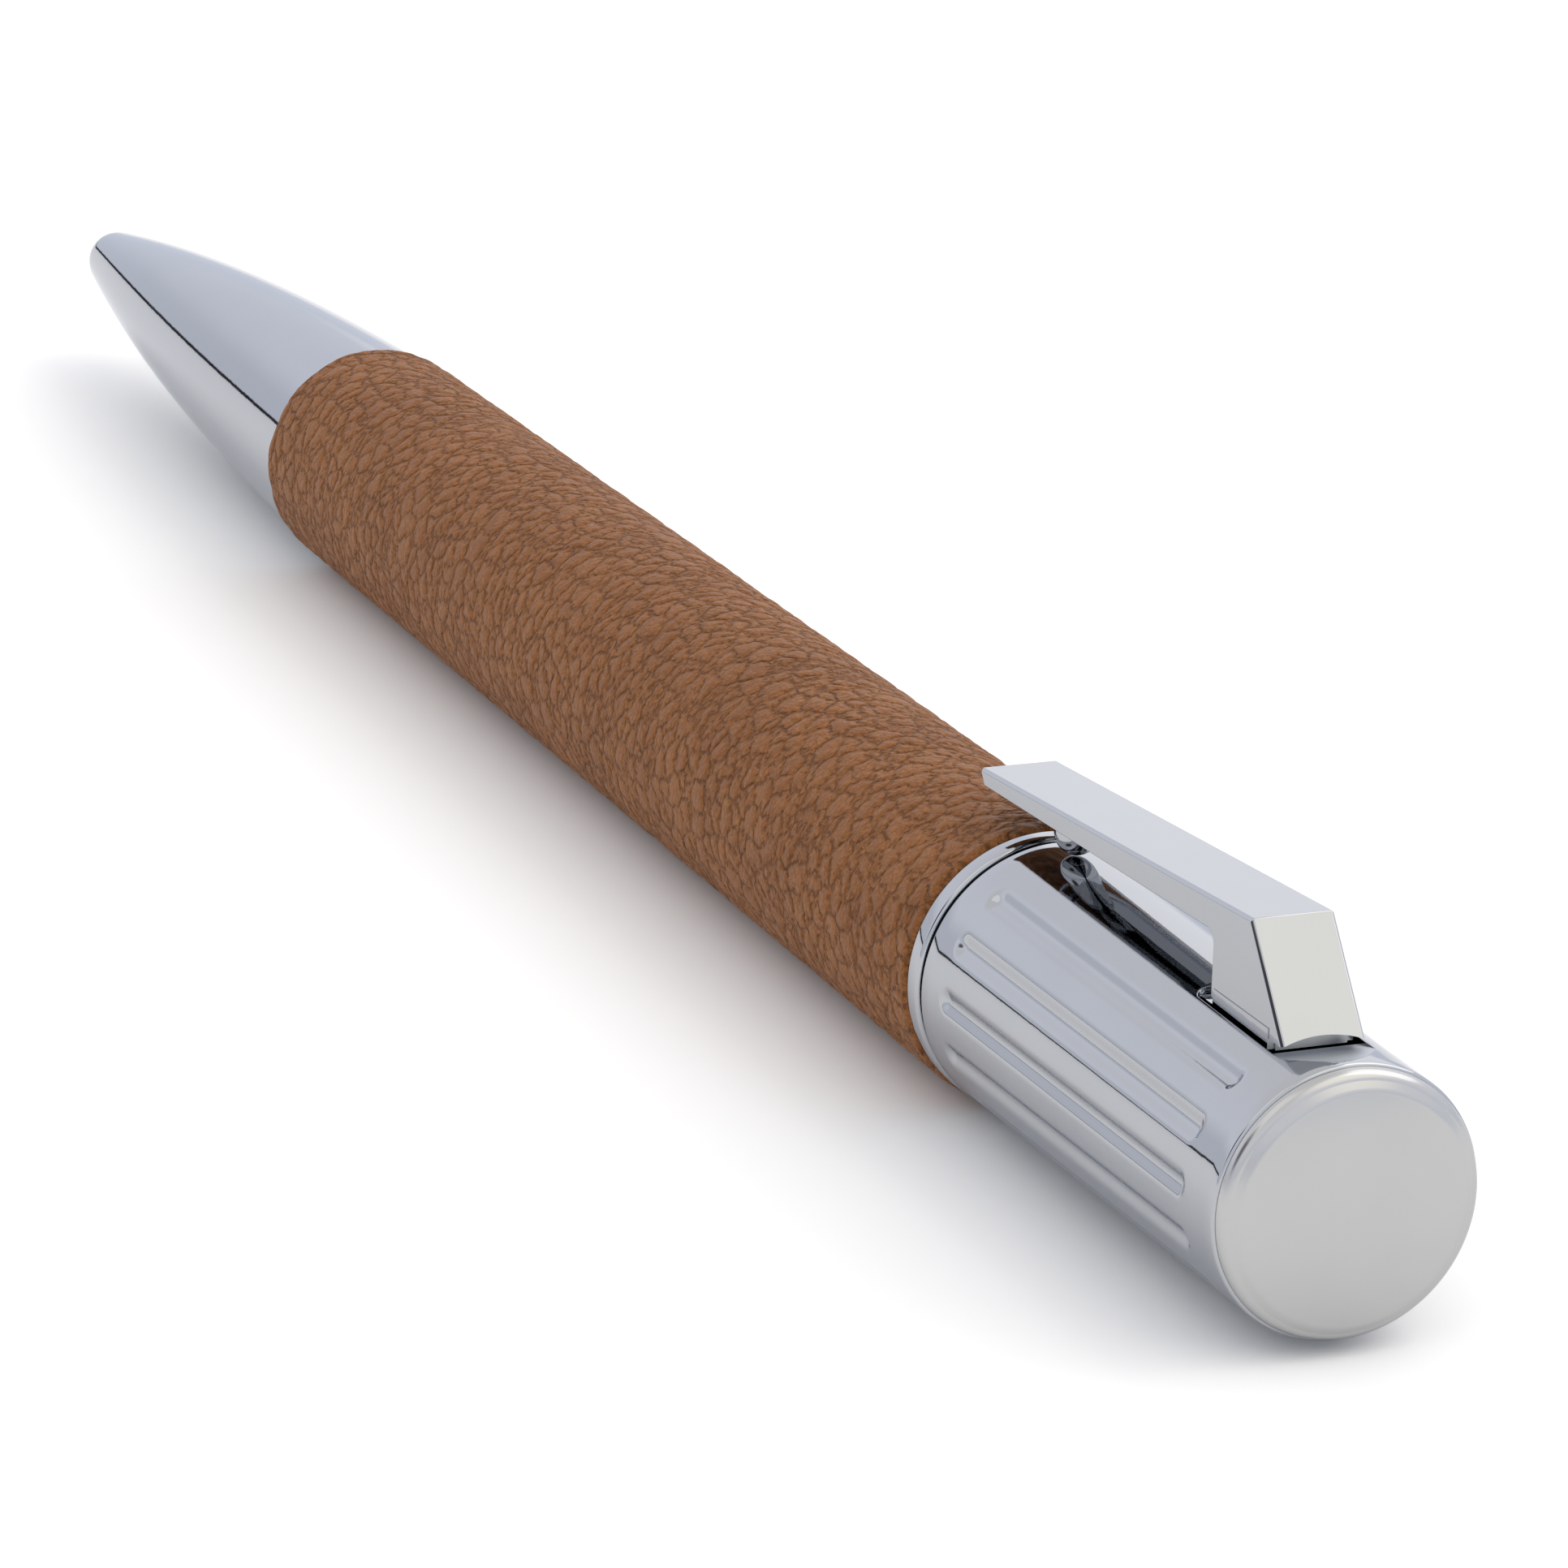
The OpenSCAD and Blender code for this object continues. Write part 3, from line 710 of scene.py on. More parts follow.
def build_leather(leather):
    """The leather wrap, pressed into shape and then grained."""
    obj = lathe("leather_wrap", leather_profile(), LEATHER_SEGMENTS, NEVER_SHARP)
    mesh = obj.data
    co = np.zeros(len(mesh.vertices) * 3)
    mesh.vertices.foreach_get("co", co)
    co = co.reshape(-1, 3)
    s = (co[:, 0] - TIP_X) / MM
    y = co[:, 1] / MM
    h = (co[:, 2] - AXIS_Z) / MM
    r = np.hypot(y, h)
    outer = r > TUBE_R + 0.02
    new_s, new_y, new_h = press_leather(s, y, h, r, outer)
    placed = np.stack([TIP_X + new_s * MM, new_y * MM, AXIS_Z + new_h * MM], axis=1)
    mesh.vertices.foreach_set("co", placed.ravel())
    mesh.update()
    above_flat = np.clip((new_h - FLOOR_H) / RELIEF_FADE_H, 0, 1)
    off_edge = np.clip(np.minimum(s - LEATHER_S0, LEATHER_S1 - s) / RELIEF_FADE_L, EDGE_RELIEF, 1)
    add_relief(obj, outer * above_flat * off_edge)
    finish_mesh(obj, NEVER_SHARP)
    dress(obj, "barrel", leather, "leather_sleeve")


# ---- fluted sleeve ----

FLUTE_COUNT = 13
FLUTE_FREE_SECTOR = 78
FLUTE_HALF_W = 0.58
FLUTE_DEPTH = 0.2
FLUTE_S0 = UPPER_S + 2.1
FLUTE_S1 = SEAM_S - 2.5
WINDOW_S0 = SEAM_S - 8.15
WINDOW_S1 = SEAM_S - 2.77
WINDOW_HALF_W = 1.63
WINDOW_CORNER_R = 0.5
RAMP_S1 = SEAM_S - 0.32  # where the ramp behind the window meets the sleeve's top
RAMP_SLOPE = math.tan(math.radians(11))
RIM_R = 0.07  # radius of the opening's softened edge
RIM_LEAST_R = 0.006  # the same where the ramp runs out
RIM_SHARE = 0.45  # most of the wall's height that the softened edge takes
RIM_INSIDE = 0.15  # how far the rim cutter reaches into the opening
RIM_ABOVE = 0.25  # how far it reaches above the sleeve
SLEEVE_EDGE_R = 0.12
SLEEVE_SEGMENTS = 480
SLEEVE_SHARP = 40
INSIDE_H = 2.5  # safely inside the sleeve's wall
OUTSIDE_H = 7.0  # safely outside it


def sleeve_radius(s):
    return SLEEVE_FRONT_R + (SLEEVE_REAR_R - SLEEVE_FRONT_R) * (s - UPPER_S) / (SEAM_S - UPPER_S)


RAMP_END_R = sleeve_radius(SEAM_S - 1)  # the sleeve's radius near the ramp's curved end


def ramp_height(s):
    return sleeve_radius(RAMP_S1) - (RAMP_S1 - s) * RAMP_SLOPE


def flute_depth(distance):
    """Depth of a flute at a distance from its middle line: a trough with rolled edges."""
    phase = np.clip(distance / FLUTE_HALF_W, 0, 1) * math.pi
    return FLUTE_DEPTH * (1 + np.cos(phase)) / 2


def fluted_radius(turn, s):
    """Radius of the sleeve's outside at angles from straight up and a station."""
    radius = sleeve_radius(s)
    pitch = (360 - FLUTE_FREE_SECTOR) / (FLUTE_COUNT - 1)
    beyond = max(FLUTE_S0 - s, s - FLUTE_S1, 0)
    depth = np.zeros(len(turn))
    for k in range(FLUTE_COUNT):
        centre = math.radians(FLUTE_FREE_SECTOR / 2 + k * pitch)
        off = (turn - centre + math.pi) % (2 * math.pi) - math.pi
        depth = np.maximum(depth, flute_depth(np.hypot(off * radius, beyond)))
    return radius - depth


def flute_stations():
    """Stations of the rows between the sleeve's rounded edges, close together at the flutes' round ends.
    Each line is a stretch and its number of rows."""
    return np.concatenate([
        np.linspace(UPPER_S + SLEEVE_EDGE_R, FLUTE_S0 - 0.75, 3),
        np.linspace(FLUTE_S0 - 0.7, FLUTE_S0 + 0.1, 18),
        np.linspace(FLUTE_S0 + 0.6, FLUTE_S1 - 0.6, 12),
        np.linspace(FLUTE_S1 - 0.1, FLUTE_S1 + 0.7, 18),
        np.linspace(FLUTE_S1 + 0.85, SEAM_S - SLEEVE_EDGE_R, 4)])


def rounded_end():
    """(distance from the end, inset) of the rows that round the sleeve's edge, from its end face on."""
    e = SLEEVE_EDGE_R
    return [(e * (1 - math.sin(a)), e * (1 - math.cos(a))) for a in np.radians([90, 67.5, 45, 22.5])]


def sleeve_rows(turns):
    """(station, radii) of each row of points: the bore's front, the outside from front to rear and the
    bore's rear."""
    level = np.ones(len(turns))
    rows = [(UPPER_S, SLEEVE_BORE_R * level)]
    rows += [(UPPER_S + d, (sleeve_radius(UPPER_S + d) - inset) * level) for d, inset in rounded_end()]
    rows += [(s, fluted_radius(turns, s)) for s in flute_stations()]
    rows += [(SEAM_S - d, (sleeve_radius(SEAM_S - d) - inset) * level) for d, inset in rounded_end()[::-1]]
    rows += [(SEAM_S, SLEEVE_BORE_R * level)]
    return rows


def window_outline():
    """The opening in the sleeve, as (station, across) points: a window with two rounded corners, then the
    sides and the curved end of the ramp behind it."""
    w = WINDOW_HALF_W
    r = WINDOW_CORNER_R
    right = arc(WINDOW_S0 + r, w - r, r, 180, 90, 8)
    sides = [(s, w) for s in np.linspace(WINDOW_S0 + r, WINDOW_S1, 14)[1:]]
    tail = []
    for y in np.linspace(w, 0, 22):
        surface = math.sqrt(RAMP_END_R ** 2 - y * y)
        tail.append((RAMP_S1 - (sleeve_radius(RAMP_S1) - surface) / RAMP_SLOPE, y))
    sides += [(s, w) for s in np.linspace(WINDOW_S1, tail[0][0], 6)[1:-1]]
    half = right + sides + tail
    return half + [(s, -y) for s, y in half[-2::-1]]


def outward_normals(outline):
    """Unit vectors that point out of the opening, at each point of its outline."""
    tangent = np.roll(outline, -1, axis=0) - np.roll(outline, 1, axis=0)
    tangent /= np.linalg.norm(tangent, axis=1)[:, None]
    return np.stack([-tangent[:, 1], tangent[:, 0]], axis=1)


def rim_section(s, y, along, across):
    """The rim cutter's section at a point of the opening: its inner side is a quarter round."""
    radius = sleeve_radius(s)
    h = math.sqrt(radius ** 2 - y * y)
    floor = ramp_height(s) if s > WINDOW_S1 else 0
    r = max(min(RIM_R, RIM_SHARE * (h - floor)), RIM_LEAST_R)
    up = np.array([0.0, y / radius, h / radius])
    out = np.array([along, across, -across * y / h])
    out /= np.linalg.norm(out)
    p = np.array([s, y, h])
    section = [p - up * r - out * RIM_INSIDE, p - up * r]
    for a in np.radians([15, 30, 45, 60, 75, 90]):
        section.append(p + out * r - up * r - out * r * math.cos(a) + up * r * math.sin(a))
    section += [p + out * r + up * RIM_ABOVE, p - out * RIM_INSIDE + up * RIM_ABOVE]
    return [tuple(q) for q in section]


def rim_cutter():
    """A ring along the opening that softens its edge."""
    outline = np.array(window_outline())
    normals = outward_normals(outline)
    rings = [rim_section(*point, *normal) for point, normal in zip(outline, normals)]
    return swept_rings("rim_cutter", rings, closed=True)


def window_cutter():
    r = WINDOW_CORNER_R
    half = arc(WINDOW_S0 + r, WINDOW_HALF_W - r, r, 180, 90, 10) + [(WINDOW_S1, WINDOW_HALF_W)]
    outline = half + [(s, -y) for s, y in half[::-1]]
    rings = [[(s, y, h) for s, y in outline] for h in (INSIDE_H, OUTSIDE_H)]
    return swept_rings("window_cutter", rings)


def ramp_cutter():
    """Cuts the ramp behind the window, and the wall in front of it down to the ramp's lowest height."""
    front = WINDOW_S1 - 1
    rear = RAMP_S1 + 1.2
    low = ramp_height(WINDOW_S1)
    outline = [(front, low), (WINDOW_S1, low), (rear, ramp_height(rear))]
    outline += [(rear, OUTSIDE_H), (front, OUTSIDE_H)]
    return prism("ramp_cutter", outline, WINDOW_HALF_W)


def in_recess(point):
    """Whether a point of the sleeve lies on the ramp behind the window or on the ramp's sides, give or take
    a small margin."""
    s = station(point.x)
    y = point.y / MM
    h = height(point.z)
    behind = WINDOW_S1 - 0.2 < s < RAMP_S1 + 0.05
    sunk = SLEEVE_BORE_R + 0.1 < h and math.hypot(y, h) < sleeve_radius(s) - 0.03
    return behind and sunk and abs(y) < WINDOW_HALF_W + 0.01


def build_sleeve(chrome, milled):
    """The fluted sleeve with the clip's window and the milled ramp behind it."""
    turns = np.linspace(0, 2 * math.pi, SLEEVE_SEGMENTS, endpoint=False)
    rows = sleeve_rows(turns)
    points = []
    for s, radii in rows:
        points.extend(zip(np.full(len(turns), s), radii * np.sin(turns), radii * np.cos(turns)))
    obj = mesh_object("fluted_sleeve", points, bands(len(rows), len(turns), True), SLEEVE_SHARP)
    for cutter in (window_cutter(), ramp_cutter(), rim_cutter()):
        boolean(obj, cutter, "DIFFERENCE")
    finish_mesh(obj, SLEEVE_SHARP)
    weighted_normals(obj)
    dress(obj, "upper", chrome, "upper_sleeve")
    obj.data.materials.append(milled)
    for face in obj.data.polygons:
        face.material_index = int(in_recess(face.center))


# ---- clip ----

CLIP_S0 = SEAM_S - 25.8  # top front edge of the arm
CLIP_S1 = CLIP_S0 + 21.2  # top rear edge
CLIP_FRONT_H = 6.68
CLIP_REAR_H = 7.99
CLIP_TOE_S = SEAM_S - 2.04  # a low point of the slanted rear face
CLIP_TOE_H = 4.6
CLIP_LEG_S = SEAM_S - 7.15  # front face of the leg
CLIP_LOW_H = 3.9  # where the leg ends before the foot is cut to the sleeve's curve
CLIP_FOOT_H = 4.5  # the foot is cut above this
CLIP_INNER_H = 6.9  # the arm's underside lies below this
BELLY_S = SEAM_S - 25.4  # front of the arm's underside
BELLY_FRONT_H = 6.15
BELLY_REAR_H = 6.75
BELLY_CORNER_R = 0.5
CLIP_CHAMFER = 0.11
CLIP_EDGE_R = 0.03
CLIP_SHARP = 50
CLIP_ROUNDED = 18  # edges that turn by more than this are rounded
FOOT_S = SEAM_S - 2.16
FOOT_GAP = 0.16
PIVOT_S = SEAM_S - 6.05
PIVOT_H = 3.3
HUB_R = 1.0
PIN_HOLE_R = 0.54
PIN_HOLE_HALF_L = 3.0
LUG_HALF_W = 1.25
LUG_S0 = PIVOT_S - 1
LUG_S1 = PIVOT_S + 3.16
LUG_TOP_H = 5.4
LUG_FLOOR_H = 3.6  # underside, where the clip spring presses
LUG_HEEL_S = PIVOT_S + 0.6
LUG_HEEL_H = 3.2
SKIRT_HALF_W = 1.5
SKIRT_S0 = WINDOW_S0 + 0.2
SKIRT_S1 = WINDOW_S1 - 0.2
SKIRT_FLOOR_H = 4.12
SKIRT_TOP_H = 4.38  # in front of the leg
SKIRT_LEG_H = 4.9  # inside the leg
SKIRT_CHAMFER = 0.1
BEAD_S = SEAM_S - 20.85
BEAD_R = 0.8
BEAD_GAP = 0.04
BEAD_NECK = 1.0
BEAD_ROWS = 12
BEAD_SIDES = 48
BEAD_LOWEST = -84  # the ball's lowest row, below its middle


def clip_outline():
    """Side view of the arm and the leg, from the top front corner round to the belly's front."""
    r = BELLY_CORNER_R
    lean = math.atan((BELLY_REAR_H - BELLY_FRONT_H) / (CLIP_LEG_S - BELLY_S))
    corner_h = BELLY_REAR_H - r / math.cos(lean) - r * math.tan(lean)
    slope = (CLIP_TOE_S - CLIP_S1) / (CLIP_REAR_H - CLIP_TOE_H)
    outline = [(CLIP_S0, CLIP_FRONT_H), (CLIP_S1, CLIP_REAR_H)]
    outline += [(CLIP_S1 + slope * (CLIP_REAR_H - CLIP_LOW_H), CLIP_LOW_H), (CLIP_LEG_S, CLIP_LOW_H)]
    outline += arc(CLIP_LEG_S - r, corner_h, r, 0, 90 + math.degrees(lean), 12)
    outline += [(BELLY_S, BELLY_FRONT_H)]
    return outline


def is_side_edge(edge):
    """Whether an edge of the blank lies on a side of the clip, other than along the underside of its arm,
    the front of its leg and the end of the leg that the foot is cut from."""
    a, b = (vert.co for vert in edge.verts)
    on_side = abs(abs(a.y) - CLIP_HALF_W * MM) < 1e-7 and abs(a.y - b.y) < 1e-7
    top = max(height(a.z), height(b.z))
    inner = top < CLIP_INNER_H and max(station(a.x), station(b.x)) < CLIP_LEG_S + 0.01
    return on_side and not inner and top > CLIP_FOOT_H


def chamfer_clip(obj):
    """Chamfered sides, and every sharp edge a little rounded."""
    bm = bmesh.new()
    bm.from_mesh(obj.data)
    side_edges = [edge for edge in bm.edges if is_side_edge(edge)]
    bmesh.ops.bevel(bm, geom=side_edges, offset=CLIP_CHAMFER * MM, offset_type="OFFSET", segments=1,
                    affect="EDGES", clamp_overlap=True)
    turn = math.radians(CLIP_ROUNDED)
    sharp = [edge for edge in bm.edges if edge.is_manifold and edge.calc_face_angle(0) > turn]
    bmesh.ops.bevel(bm, geom=sharp, offset=CLIP_EDGE_R * MM, offset_type="OFFSET", segments=2, profile=0.5,
                    affect="EDGES", clamp_overlap=True)
    bm.to_mesh(obj.data)
    bm.free()


def foot_cutter():
    """The sleeve's curve with a gap, which leaves the foot concave."""
    r = sleeve_radius(FOOT_S) + FOOT_GAP
    front = CLIP_LEG_S - 1
    rear = SEAM_S + 1
    return lathe("foot_cut", [(0.0, front), (r, front), (r, rear), (0.0, rear)])


def lug_block():
    """The hidden lug that goes down to the pin, with a floor for the spring."""
    outline = [(LUG_S0, PIVOT_H), (LUG_S0, LUG_TOP_H), (LUG_S1, LUG_TOP_H), (LUG_S1, LUG_FLOOR_H),
               (LUG_HEEL_S, LUG_HEEL_H), (PIVOT_S, PIVOT_H)]
    return prism("lug", outline, LUG_HALF_W)


def skirt_block():
    """The skirt that fills the window round the leg and ahead of it."""
    leg = CLIP_LEG_S + 0.2
    outline = [(SKIRT_S0, SKIRT_FLOOR_H), (SKIRT_S0, SKIRT_TOP_H - SKIRT_CHAMFER)]
    outline += [(SKIRT_S0 + SKIRT_CHAMFER, SKIRT_TOP_H), (leg, SKIRT_TOP_H), (leg, SKIRT_LEG_H)]
    outline += [(SKIRT_S1, SKIRT_LEG_H), (SKIRT_S1, SKIRT_FLOOR_H)]
    return prism("skirt", outline, SKIRT_HALF_W)


def bead():
    """The ball under the arm's front, on a neck that goes up into the arm."""
    centre_h = sleeve_radius(BEAD_S) + BEAD_GAP + BEAD_R
    rings = []
    for a in np.radians(np.linspace(BEAD_LOWEST, 0, BEAD_ROWS)):
        h = centre_h + BEAD_R * math.sin(a)
        rings.append([(BEAD_S + x, y, h) for x, y in circle(0, 0, BEAD_R * math.cos(a), BEAD_SIDES)])
    rings.append([(s, y, centre_h + BEAD_NECK) for s, y, h in rings[-1]])
    return swept_rings("bead", rings)


def build_clip(chrome):
    """Arm and leg with a concave foot, the bead under the arm, the skirt in the window and the hidden lug."""
    obj = prism("clip_lever", clip_outline(), CLIP_HALF_W)
    chamfer_clip(obj)
    boolean(obj, foot_cutter(), "DIFFERENCE")
    boolean(obj, lug_block(), "UNION")
    boolean(obj, skirt_block(), "UNION")
    boolean(obj, prism("hub", circle(PIVOT_S, PIVOT_H, HUB_R, 48), LUG_HALF_W), "UNION")
    boolean(obj, prism("hole", circle(PIVOT_S, PIVOT_H, PIN_HOLE_R, 32), PIN_HOLE_HALF_L), "DIFFERENCE")
    boolean(obj, bead(), "UNION")
    finish_mesh(obj, CLIP_SHARP)
    weighted_normals(obj)
    dress(obj, "clip", chrome, "clip")


# ---- springs ----

COIL_STEPS = 30  # sections in each turn
WIRE_SIDES = 10
CLOSED_PITCH = 2.15  # of the end turns, in wire radii


def coil_path(length, wire_r, turns, dead_turns):
    """Turns counted along the wire, and how far along the spring each lies: the end turns lie close
    together and the others share the rest."""
    share = np.linspace(0, turns, int(turns * COIL_STEPS) + 1)
    inside = np.clip(share - dead_turns, 0, turns - 2 * dead_turns)
    closed = np.minimum(share, dead_turns) + np.clip(share - turns + dead_turns, 0, dead_turns)
    pitch = CLOSED_PITCH * wire_r
    free = (length - 2 * wire_r - 2 * dead_turns * pitch) / (turns - 2 * dead_turns)
    return share, wire_r + closed * pitch + inside * free


def coil(name, start, direction, coil_r, wire_r, length, turns, dead_turns=0.9):
    """A compression spring from a start point, along the pen ("x") or up ("z")."""
    rings = []
    for turn, along in zip(*coil_path(length, wire_r, turns, dead_turns)):
        a = 2 * math.pi * turn
        ring = []
        for b in np.linspace(0, 2 * math.pi, WIRE_SIDES, endpoint=False):
            r = coil_r + wire_r * math.cos(b)
            u = r * math.cos(a)
            v = r * math.sin(a)
            w = along + wire_r * math.sin(b)
            offset = (w, u, v) if direction == "x" else (u, v, w)
            ring.append(tuple(p + q for p, q in zip(start, offset)))
        rings.append(ring)
    return swept_rings(name, rings)


RETURN_WIRE_R = 0.19
RETURN_TURNS = 8
CLIP_WIRE_R = 0.13
CLIP_TURNS = 4
CLIP_DEAD_TURNS = 0.6


def build_return_spring(steel):
    """The coil round the refill's tip, which the refill squashes as it comes out."""
    length = SPRING_HI.x - SPRING_LO.x
    coil_r = (SPRING_HI.y - SPRING_LO.y) / 2 / MM - RETURN_WIRE_R
    start = (station(SPRING_LO.x), 0, 0)
    obj = coil("return_coil", start, "x", coil_r, RETURN_WIRE_R, length / MM, RETURN_TURNS)
    dress(obj, "barrel", steel, "return_spring")
    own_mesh(obj)


def build_clip_spring(steel):
    """The small coil under the clip's lug, which the opening clip squashes."""
    length = (CLIP_SPRING_HI.z - CLIP_SPRING_LO.z) / MM
    middle = station((CLIP_SPRING_LO.x + CLIP_SPRING_HI.x) / 2)
    coil_r = (CLIP_SPRING_HI.y - CLIP_SPRING_LO.y) / 2 / MM - CLIP_WIRE_R
    start = (middle, 0, height(CLIP_SPRING_LO.z))
    obj = coil("clip_coil", start, "z", coil_r, CLIP_WIRE_R, length, CLIP_TURNS, CLIP_DEAD_TURNS)
    dress(obj, "upper", steel, "clip_spring")
    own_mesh(obj)


# ---- stage ----

FLOOR_HALF_M = 1.5


def build_floor():
    """A square of paper under the pen."""
    half = FLOOR_HALF_M
    mesh = bpy.data.meshes.new("floor")
    corners = [(-half, -half, 0), (half, -half, 0), (half, half, 0), (-half, half, 0)]
    mesh.from_pydata(corners, [], [[0, 1, 2, 3]])
    obj = bpy.data.objects.new("floor", mesh)
    bpy.context.scene.collection.objects.link(obj)
    mesh.materials.append(floor_material())


# Light of the tent by height, from straight down at -1 to straight up at 1.
SKY_STOPS = [(-1.0, (0.75, 0.76, 0.8)), (0.0, (0.94, 0.98, 1.09)), (0.1, (0.98, 1.02, 1.12)),
             (0.19, (1.08, 1.11, 1.2)), (0.3, (1.1, 1.13, 1.22)), (0.46, (1.1, 1.11, 1.19)),
             (0.62, (1.03, 1.03, 1.05)), (1.0, (1.0, 1.0, 1.0))]
SKY_SCALE = 1.5  # colours in the world's nodes are below 1 and are scaled up by this
WARM_PANEL = (0.527, 0.358, 0.771)
WARM_ANGLES = (15, 32)  # from its middle to where it starts and ends to fade
WARM_LIGHT = (1.64, 1.59, 1.47)
DARK_CORNER = (0.1, -0.88, 0.45)
CORNER_ANGLES = (8, 20)
CORNER_LIGHT = (0.1, 0.1, 0.11)
# Between which parts of a unit direction the near side, the far side and the gap start and end.
NEAR_Y = (-0.4, 0.2)
NEAR_Z = (0.13, 0.3)
NEAR_LIGHT = (0.88, 0.91, 1.0)
FAR_X = (-0.7, -0.2)
FAR_Y = (0.27, 0.35)
FAR_Z = (0.1, 0.18)
FAR_LIGHT = (1.48, 1.47, 1.48)
GAP_X = (-0.5, -0.2)
GAP_Y = (-0.06, 0.06)
GAP_Z = (0.014, 0.019)
GAP_LIGHT = rgb(0.012, 0.013, 0.016)


def scaled(colour):
    return rgb(*(c / SKY_SCALE for c in colour))


def cone(tree, direction, axis, inner, outer):
    """1 within an angle of an axis, fading to 0 at a wider angle."""
    along = vector(tree, "DOT_PRODUCT", direction, tuple(Vector(axis).normalized()))
    return ramp(tree, along, math.cos(math.radians(outer)), math.cos(math.radians(inner)))


def tent_by_height(tree, z):
    """The tent's colours from below to above."""
    node = tree.nodes.new("ShaderNodeValToRGB")
    stops = node.color_ramp.elements
    while len(stops) < len(SKY_STOPS):
        stops.new(0.5)
    for element, (level, colour) in zip(stops, SKY_STOPS):
        element.position = (level + 1) / 2
        element.color = scaled(colour)
    tree.links.new(ramp(tree, z, -1.0, 1.0, smooth=False), node.inputs["Fac"])
    return node.outputs["Color"]


def build_world():
    """A light tent: pale and bluish, with a warm panel above the pen's rear, a brighter far side, a cooler
    near side, one dark corner and a dark gap at the near side's horizon."""
    sky = bpy.data.worlds.new("light_tent")
    bpy.context.scene.world = sky
    sky.use_nodes = True
    tree = sky.node_tree
    direction = tree.nodes.new("ShaderNodeTexCoord").outputs["Generated"]
    split = tree.nodes.new("ShaderNodeSeparateXYZ")
    tree.links.new(direction, split.inputs[0])
    x, y, z = split.outputs
    lit = tent_by_height(tree, z)
    lit = mix(tree, cone(tree, direction, WARM_PANEL, *WARM_ANGLES), lit, scaled(WARM_LIGHT))
    near = product(tree, fade_out(tree, y, *NEAR_Y), fade_out(tree, z, *NEAR_Z))
    lit = mix(tree, near, lit, scaled(NEAR_LIGHT))
    far = product(tree, ramp(tree, y, *FAR_Y), ramp(tree, z, *FAR_Z), fade_out(tree, x, *FAR_X))
    lit = mix(tree, far, lit, scaled(FAR_LIGHT))
    lit = mix(tree, cone(tree, direction, DARK_CORNER, *CORNER_ANGLES), lit, scaled(CORNER_LIGHT))
    level = fade_out(tree, calc(tree, "ABSOLUTE", z), *GAP_Z)
    gap = product(tree, level, fade_out(tree, y, *GAP_Y), fade_out(tree, x, *GAP_X))
    lit = mix(tree, gap, lit, GAP_LIGHT)
    background = tree.nodes["Background"]
    tree.links.new(lit, background.inputs["Color"])
    background.inputs["Strength"].default_value = SKY_SCALE


LIT_POINT = Vector((0.02, 0, 0))


def softbox(name, direction, distance, size, radiance, colour):
    """A square area light, in metres, that looks at the pen from a direction."""
    data = bpy.data.lights.new(name, "AREA")
    data.shape = "SQUARE"
    data.size = size
    data.energy = radiance * math.pi * size * size
    data.color = colour
    obj = bpy.data.objects.new(name, data)
    toward = Vector(direction).normalized()
    obj.location = LIT_POINT + toward * distance
    obj.rotation_euler = toward.to_track_quat("Z", "Y").to_euler()
    bpy.context.scene.collection.objects.link(obj)


def build_lights():
    softbox("key_softbox", direction=(0.1, 0.64, 0.76), distance=0.6, size=0.44, radiance=1.15,
            colour=(1.0, 0.985, 0.96))
    softbox("fill_softbox", direction=(0.15, -0.55, 0.82), distance=0.7, size=0.5, radiance=0.3,
            colour=(1.0, 0.99, 0.98))


CAMERA_AZIMUTH = 67.996
CAMERA_ELEVATION = 17.221
CAMERA_ROLL = 1.445
CAMERA_FROM_SEAM = Vector((157.19, -82.68, 67.93))
CAMERA_LENS = 139.75
CAMERA_SENSOR = 36


def build_camera():
    """The camera, placed from the point of the pen's axis where the end cap meets the sleeve."""
    data = bpy.data.cameras.new("camera")
    data.lens = CAMERA_LENS
    data.sensor_width = CAMERA_SENSOR
    data.clip_start = 0.01
    obj = bpy.data.objects.new("camera", data)
    bpy.context.scene.collection.objects.link(obj)
    a = math.radians(CAMERA_AZIMUTH)
    e = math.radians(CAMERA_ELEVATION)
    roll = math.radians(CAMERA_ROLL)
    back = Vector((math.sin(a) * math.cos(e), -math.cos(a) * math.cos(e), math.sin(e)))
    right = (-back).cross(Vector((0, 0, 1))).normalized()
    up = right.cross(-back)
    turned_right = right * math.cos(roll) + up * math.sin(roll)
    turned_up = up * math.cos(roll) - right * math.sin(roll)
    matrix = Matrix((turned_right, turned_up, back)).transposed().to_4x4()
    matrix.translation = Vector((SLEEVE_HI.x, 0, AXIS_Z)) + CAMERA_FROM_SEAM * MM
    obj.matrix_world = matrix
    bpy.context.scene.camera = obj


# ---- the whole pen ----

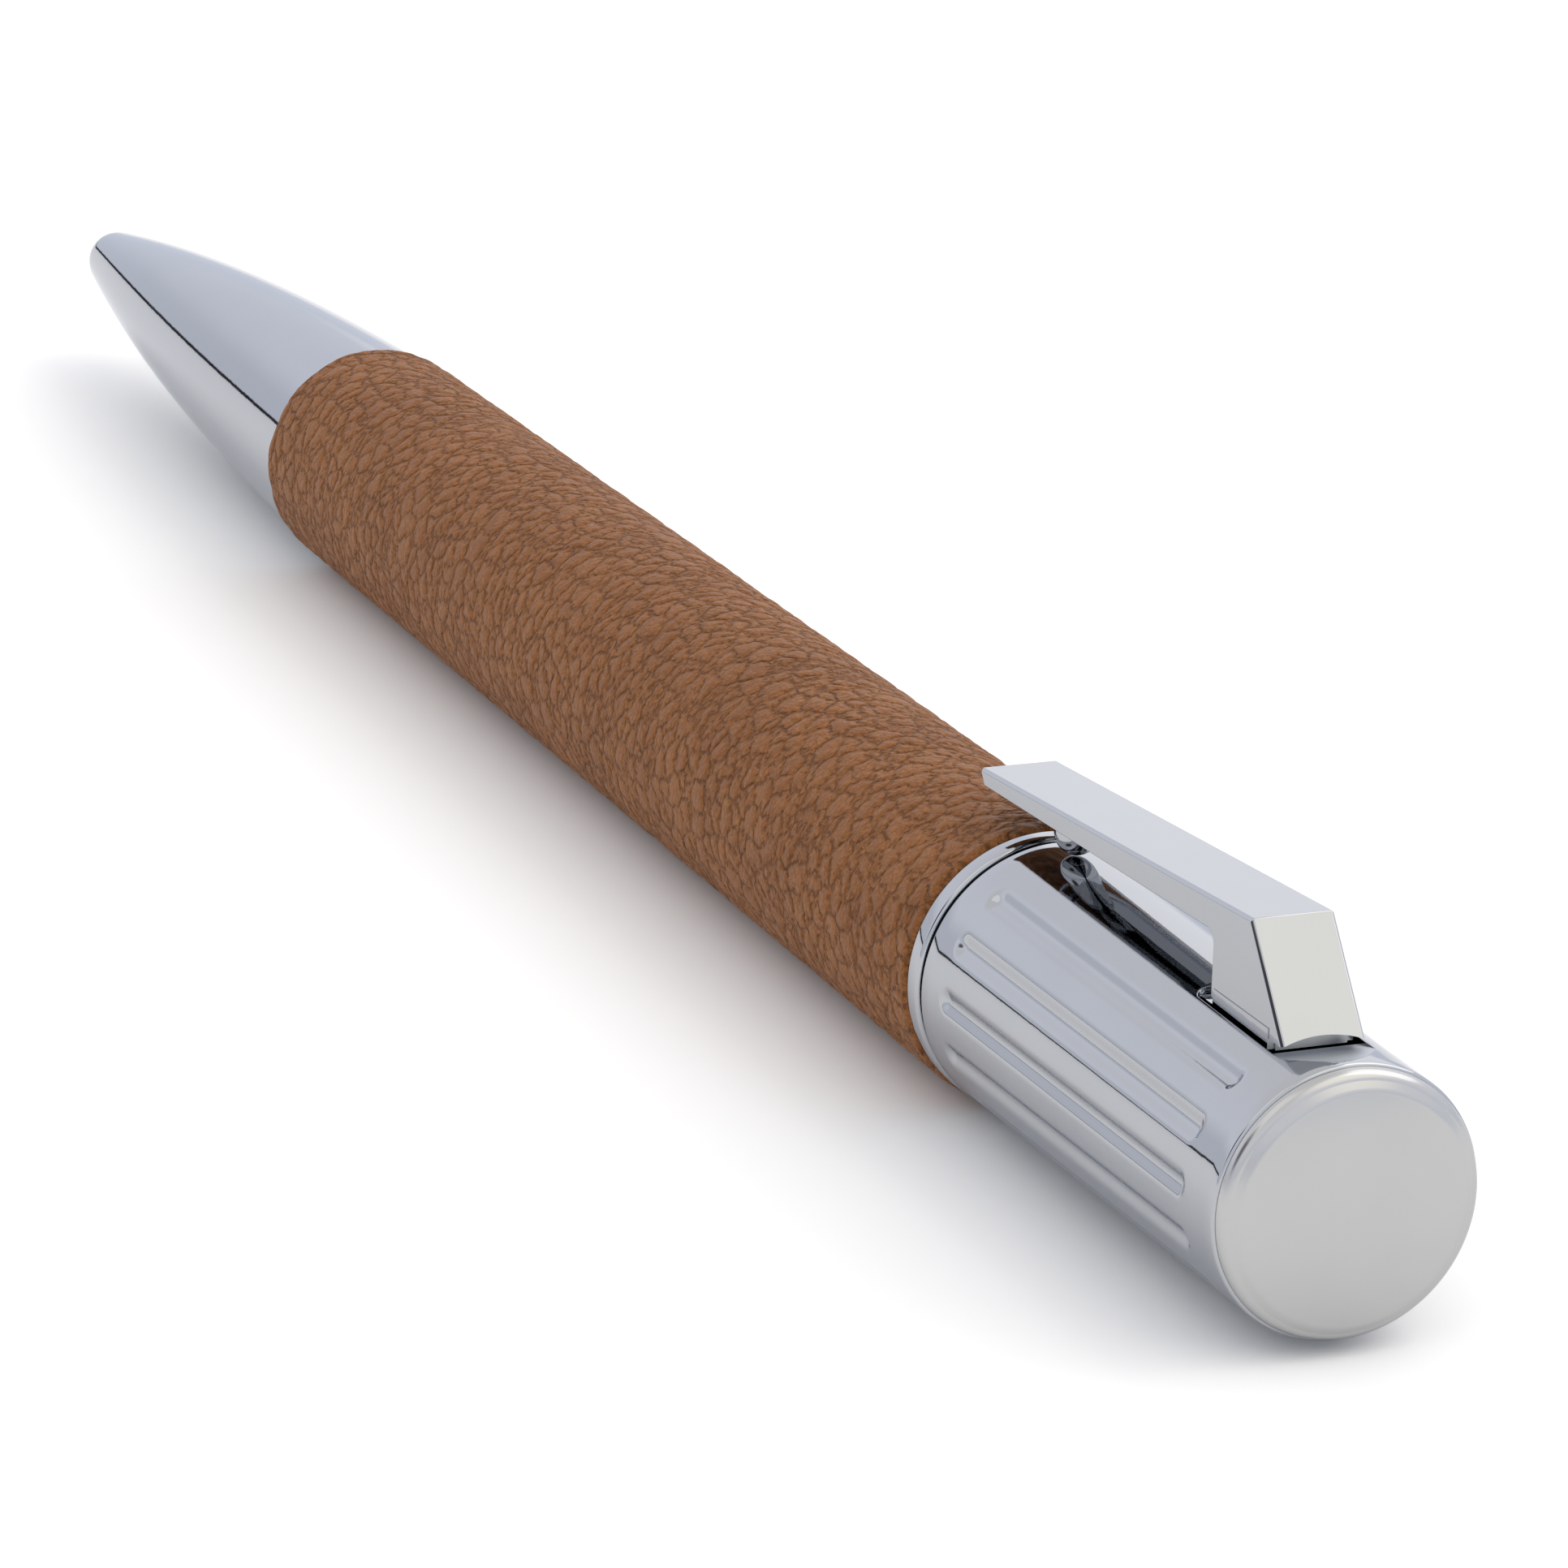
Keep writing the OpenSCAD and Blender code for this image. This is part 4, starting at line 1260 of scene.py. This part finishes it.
def slot_materials(chrome, leather, steel):
    """The material of each slot in the record."""
    return {
        "chrome": chrome,
        "leather": leather,
        "steel": steel,
        "brass": metal_material("turned_brass", rgb(0.62, 0.42, 0.17), rgb(0.74, 0.53, 0.25), 0.24),
        "nickel": metal_material("satin_nickel", rgb(0.56, 0.54, 0.5), rgb(0.66, 0.64, 0.6), 0.26),
        "refill_metal": metal_material("refill_metal", rgb(0.5, 0.51, 0.53), rgb(0.6, 0.61, 0.63), 0.3, 3.0),
        "white_plastic": plastic_material(
            "moulded_acetal", rgb(0.74, 0.74, 0.69), rgb(0.82, 0.82, 0.78), 0.38),
        "black_plastic": plastic_material(
            "black_moulding", rgb(0.012, 0.012, 0.014), rgb(0.022, 0.022, 0.025), 0.3),
        "seal_rubber": plastic_material(
            "seal_rubber", rgb(0.012, 0.012, 0.012), rgb(0.022, 0.021, 0.02), 0.62, 7.0),
        "ink_fibre": fibre_material(),
    }


def dress_cad_nodes(by_slot):
    """Gives each CAD node the material of its slot."""
    for part in frame["record"]["subparts"]:
        node = frame["nodes"][part["node"]]
        node.data.materials.clear()
        node.data.materials.append(by_slot[part["material_slot"]])


def main():
    chrome = chrome_material("chrome_plate", 0.02, rgb(0.405, 0.418, 0.438), rgb(0.43, 0.441, 0.461))
    satin = chrome_material("satin_chrome", 0.2, rgb(0.45, 0.45, 0.448), rgb(0.48, 0.48, 0.478))
    milled = chrome_material("milled_chrome", 0.42, rgb(0.5, 0.52, 0.55), rgb(0.54, 0.56, 0.59))
    steel = metal_material("drawn_steel", rgb(0.42, 0.43, 0.45), rgb(0.54, 0.55, 0.57), 0.18)
    leather = leather_material()
    dress_cad_nodes(slot_materials(chrome, leather, steel))
    build_nose(chrome)
    build_leather(leather)
    build_ring(chrome)
    build_sleeve(chrome, milled)
    build_cap(satin)
    build_clip(chrome)
    build_return_spring(steel)
    build_clip_spring(steel)
    build_floor()
    build_world()
    build_lights()
    build_camera()
    bpy.context.scene.view_settings.view_transform = "Standard"


main()
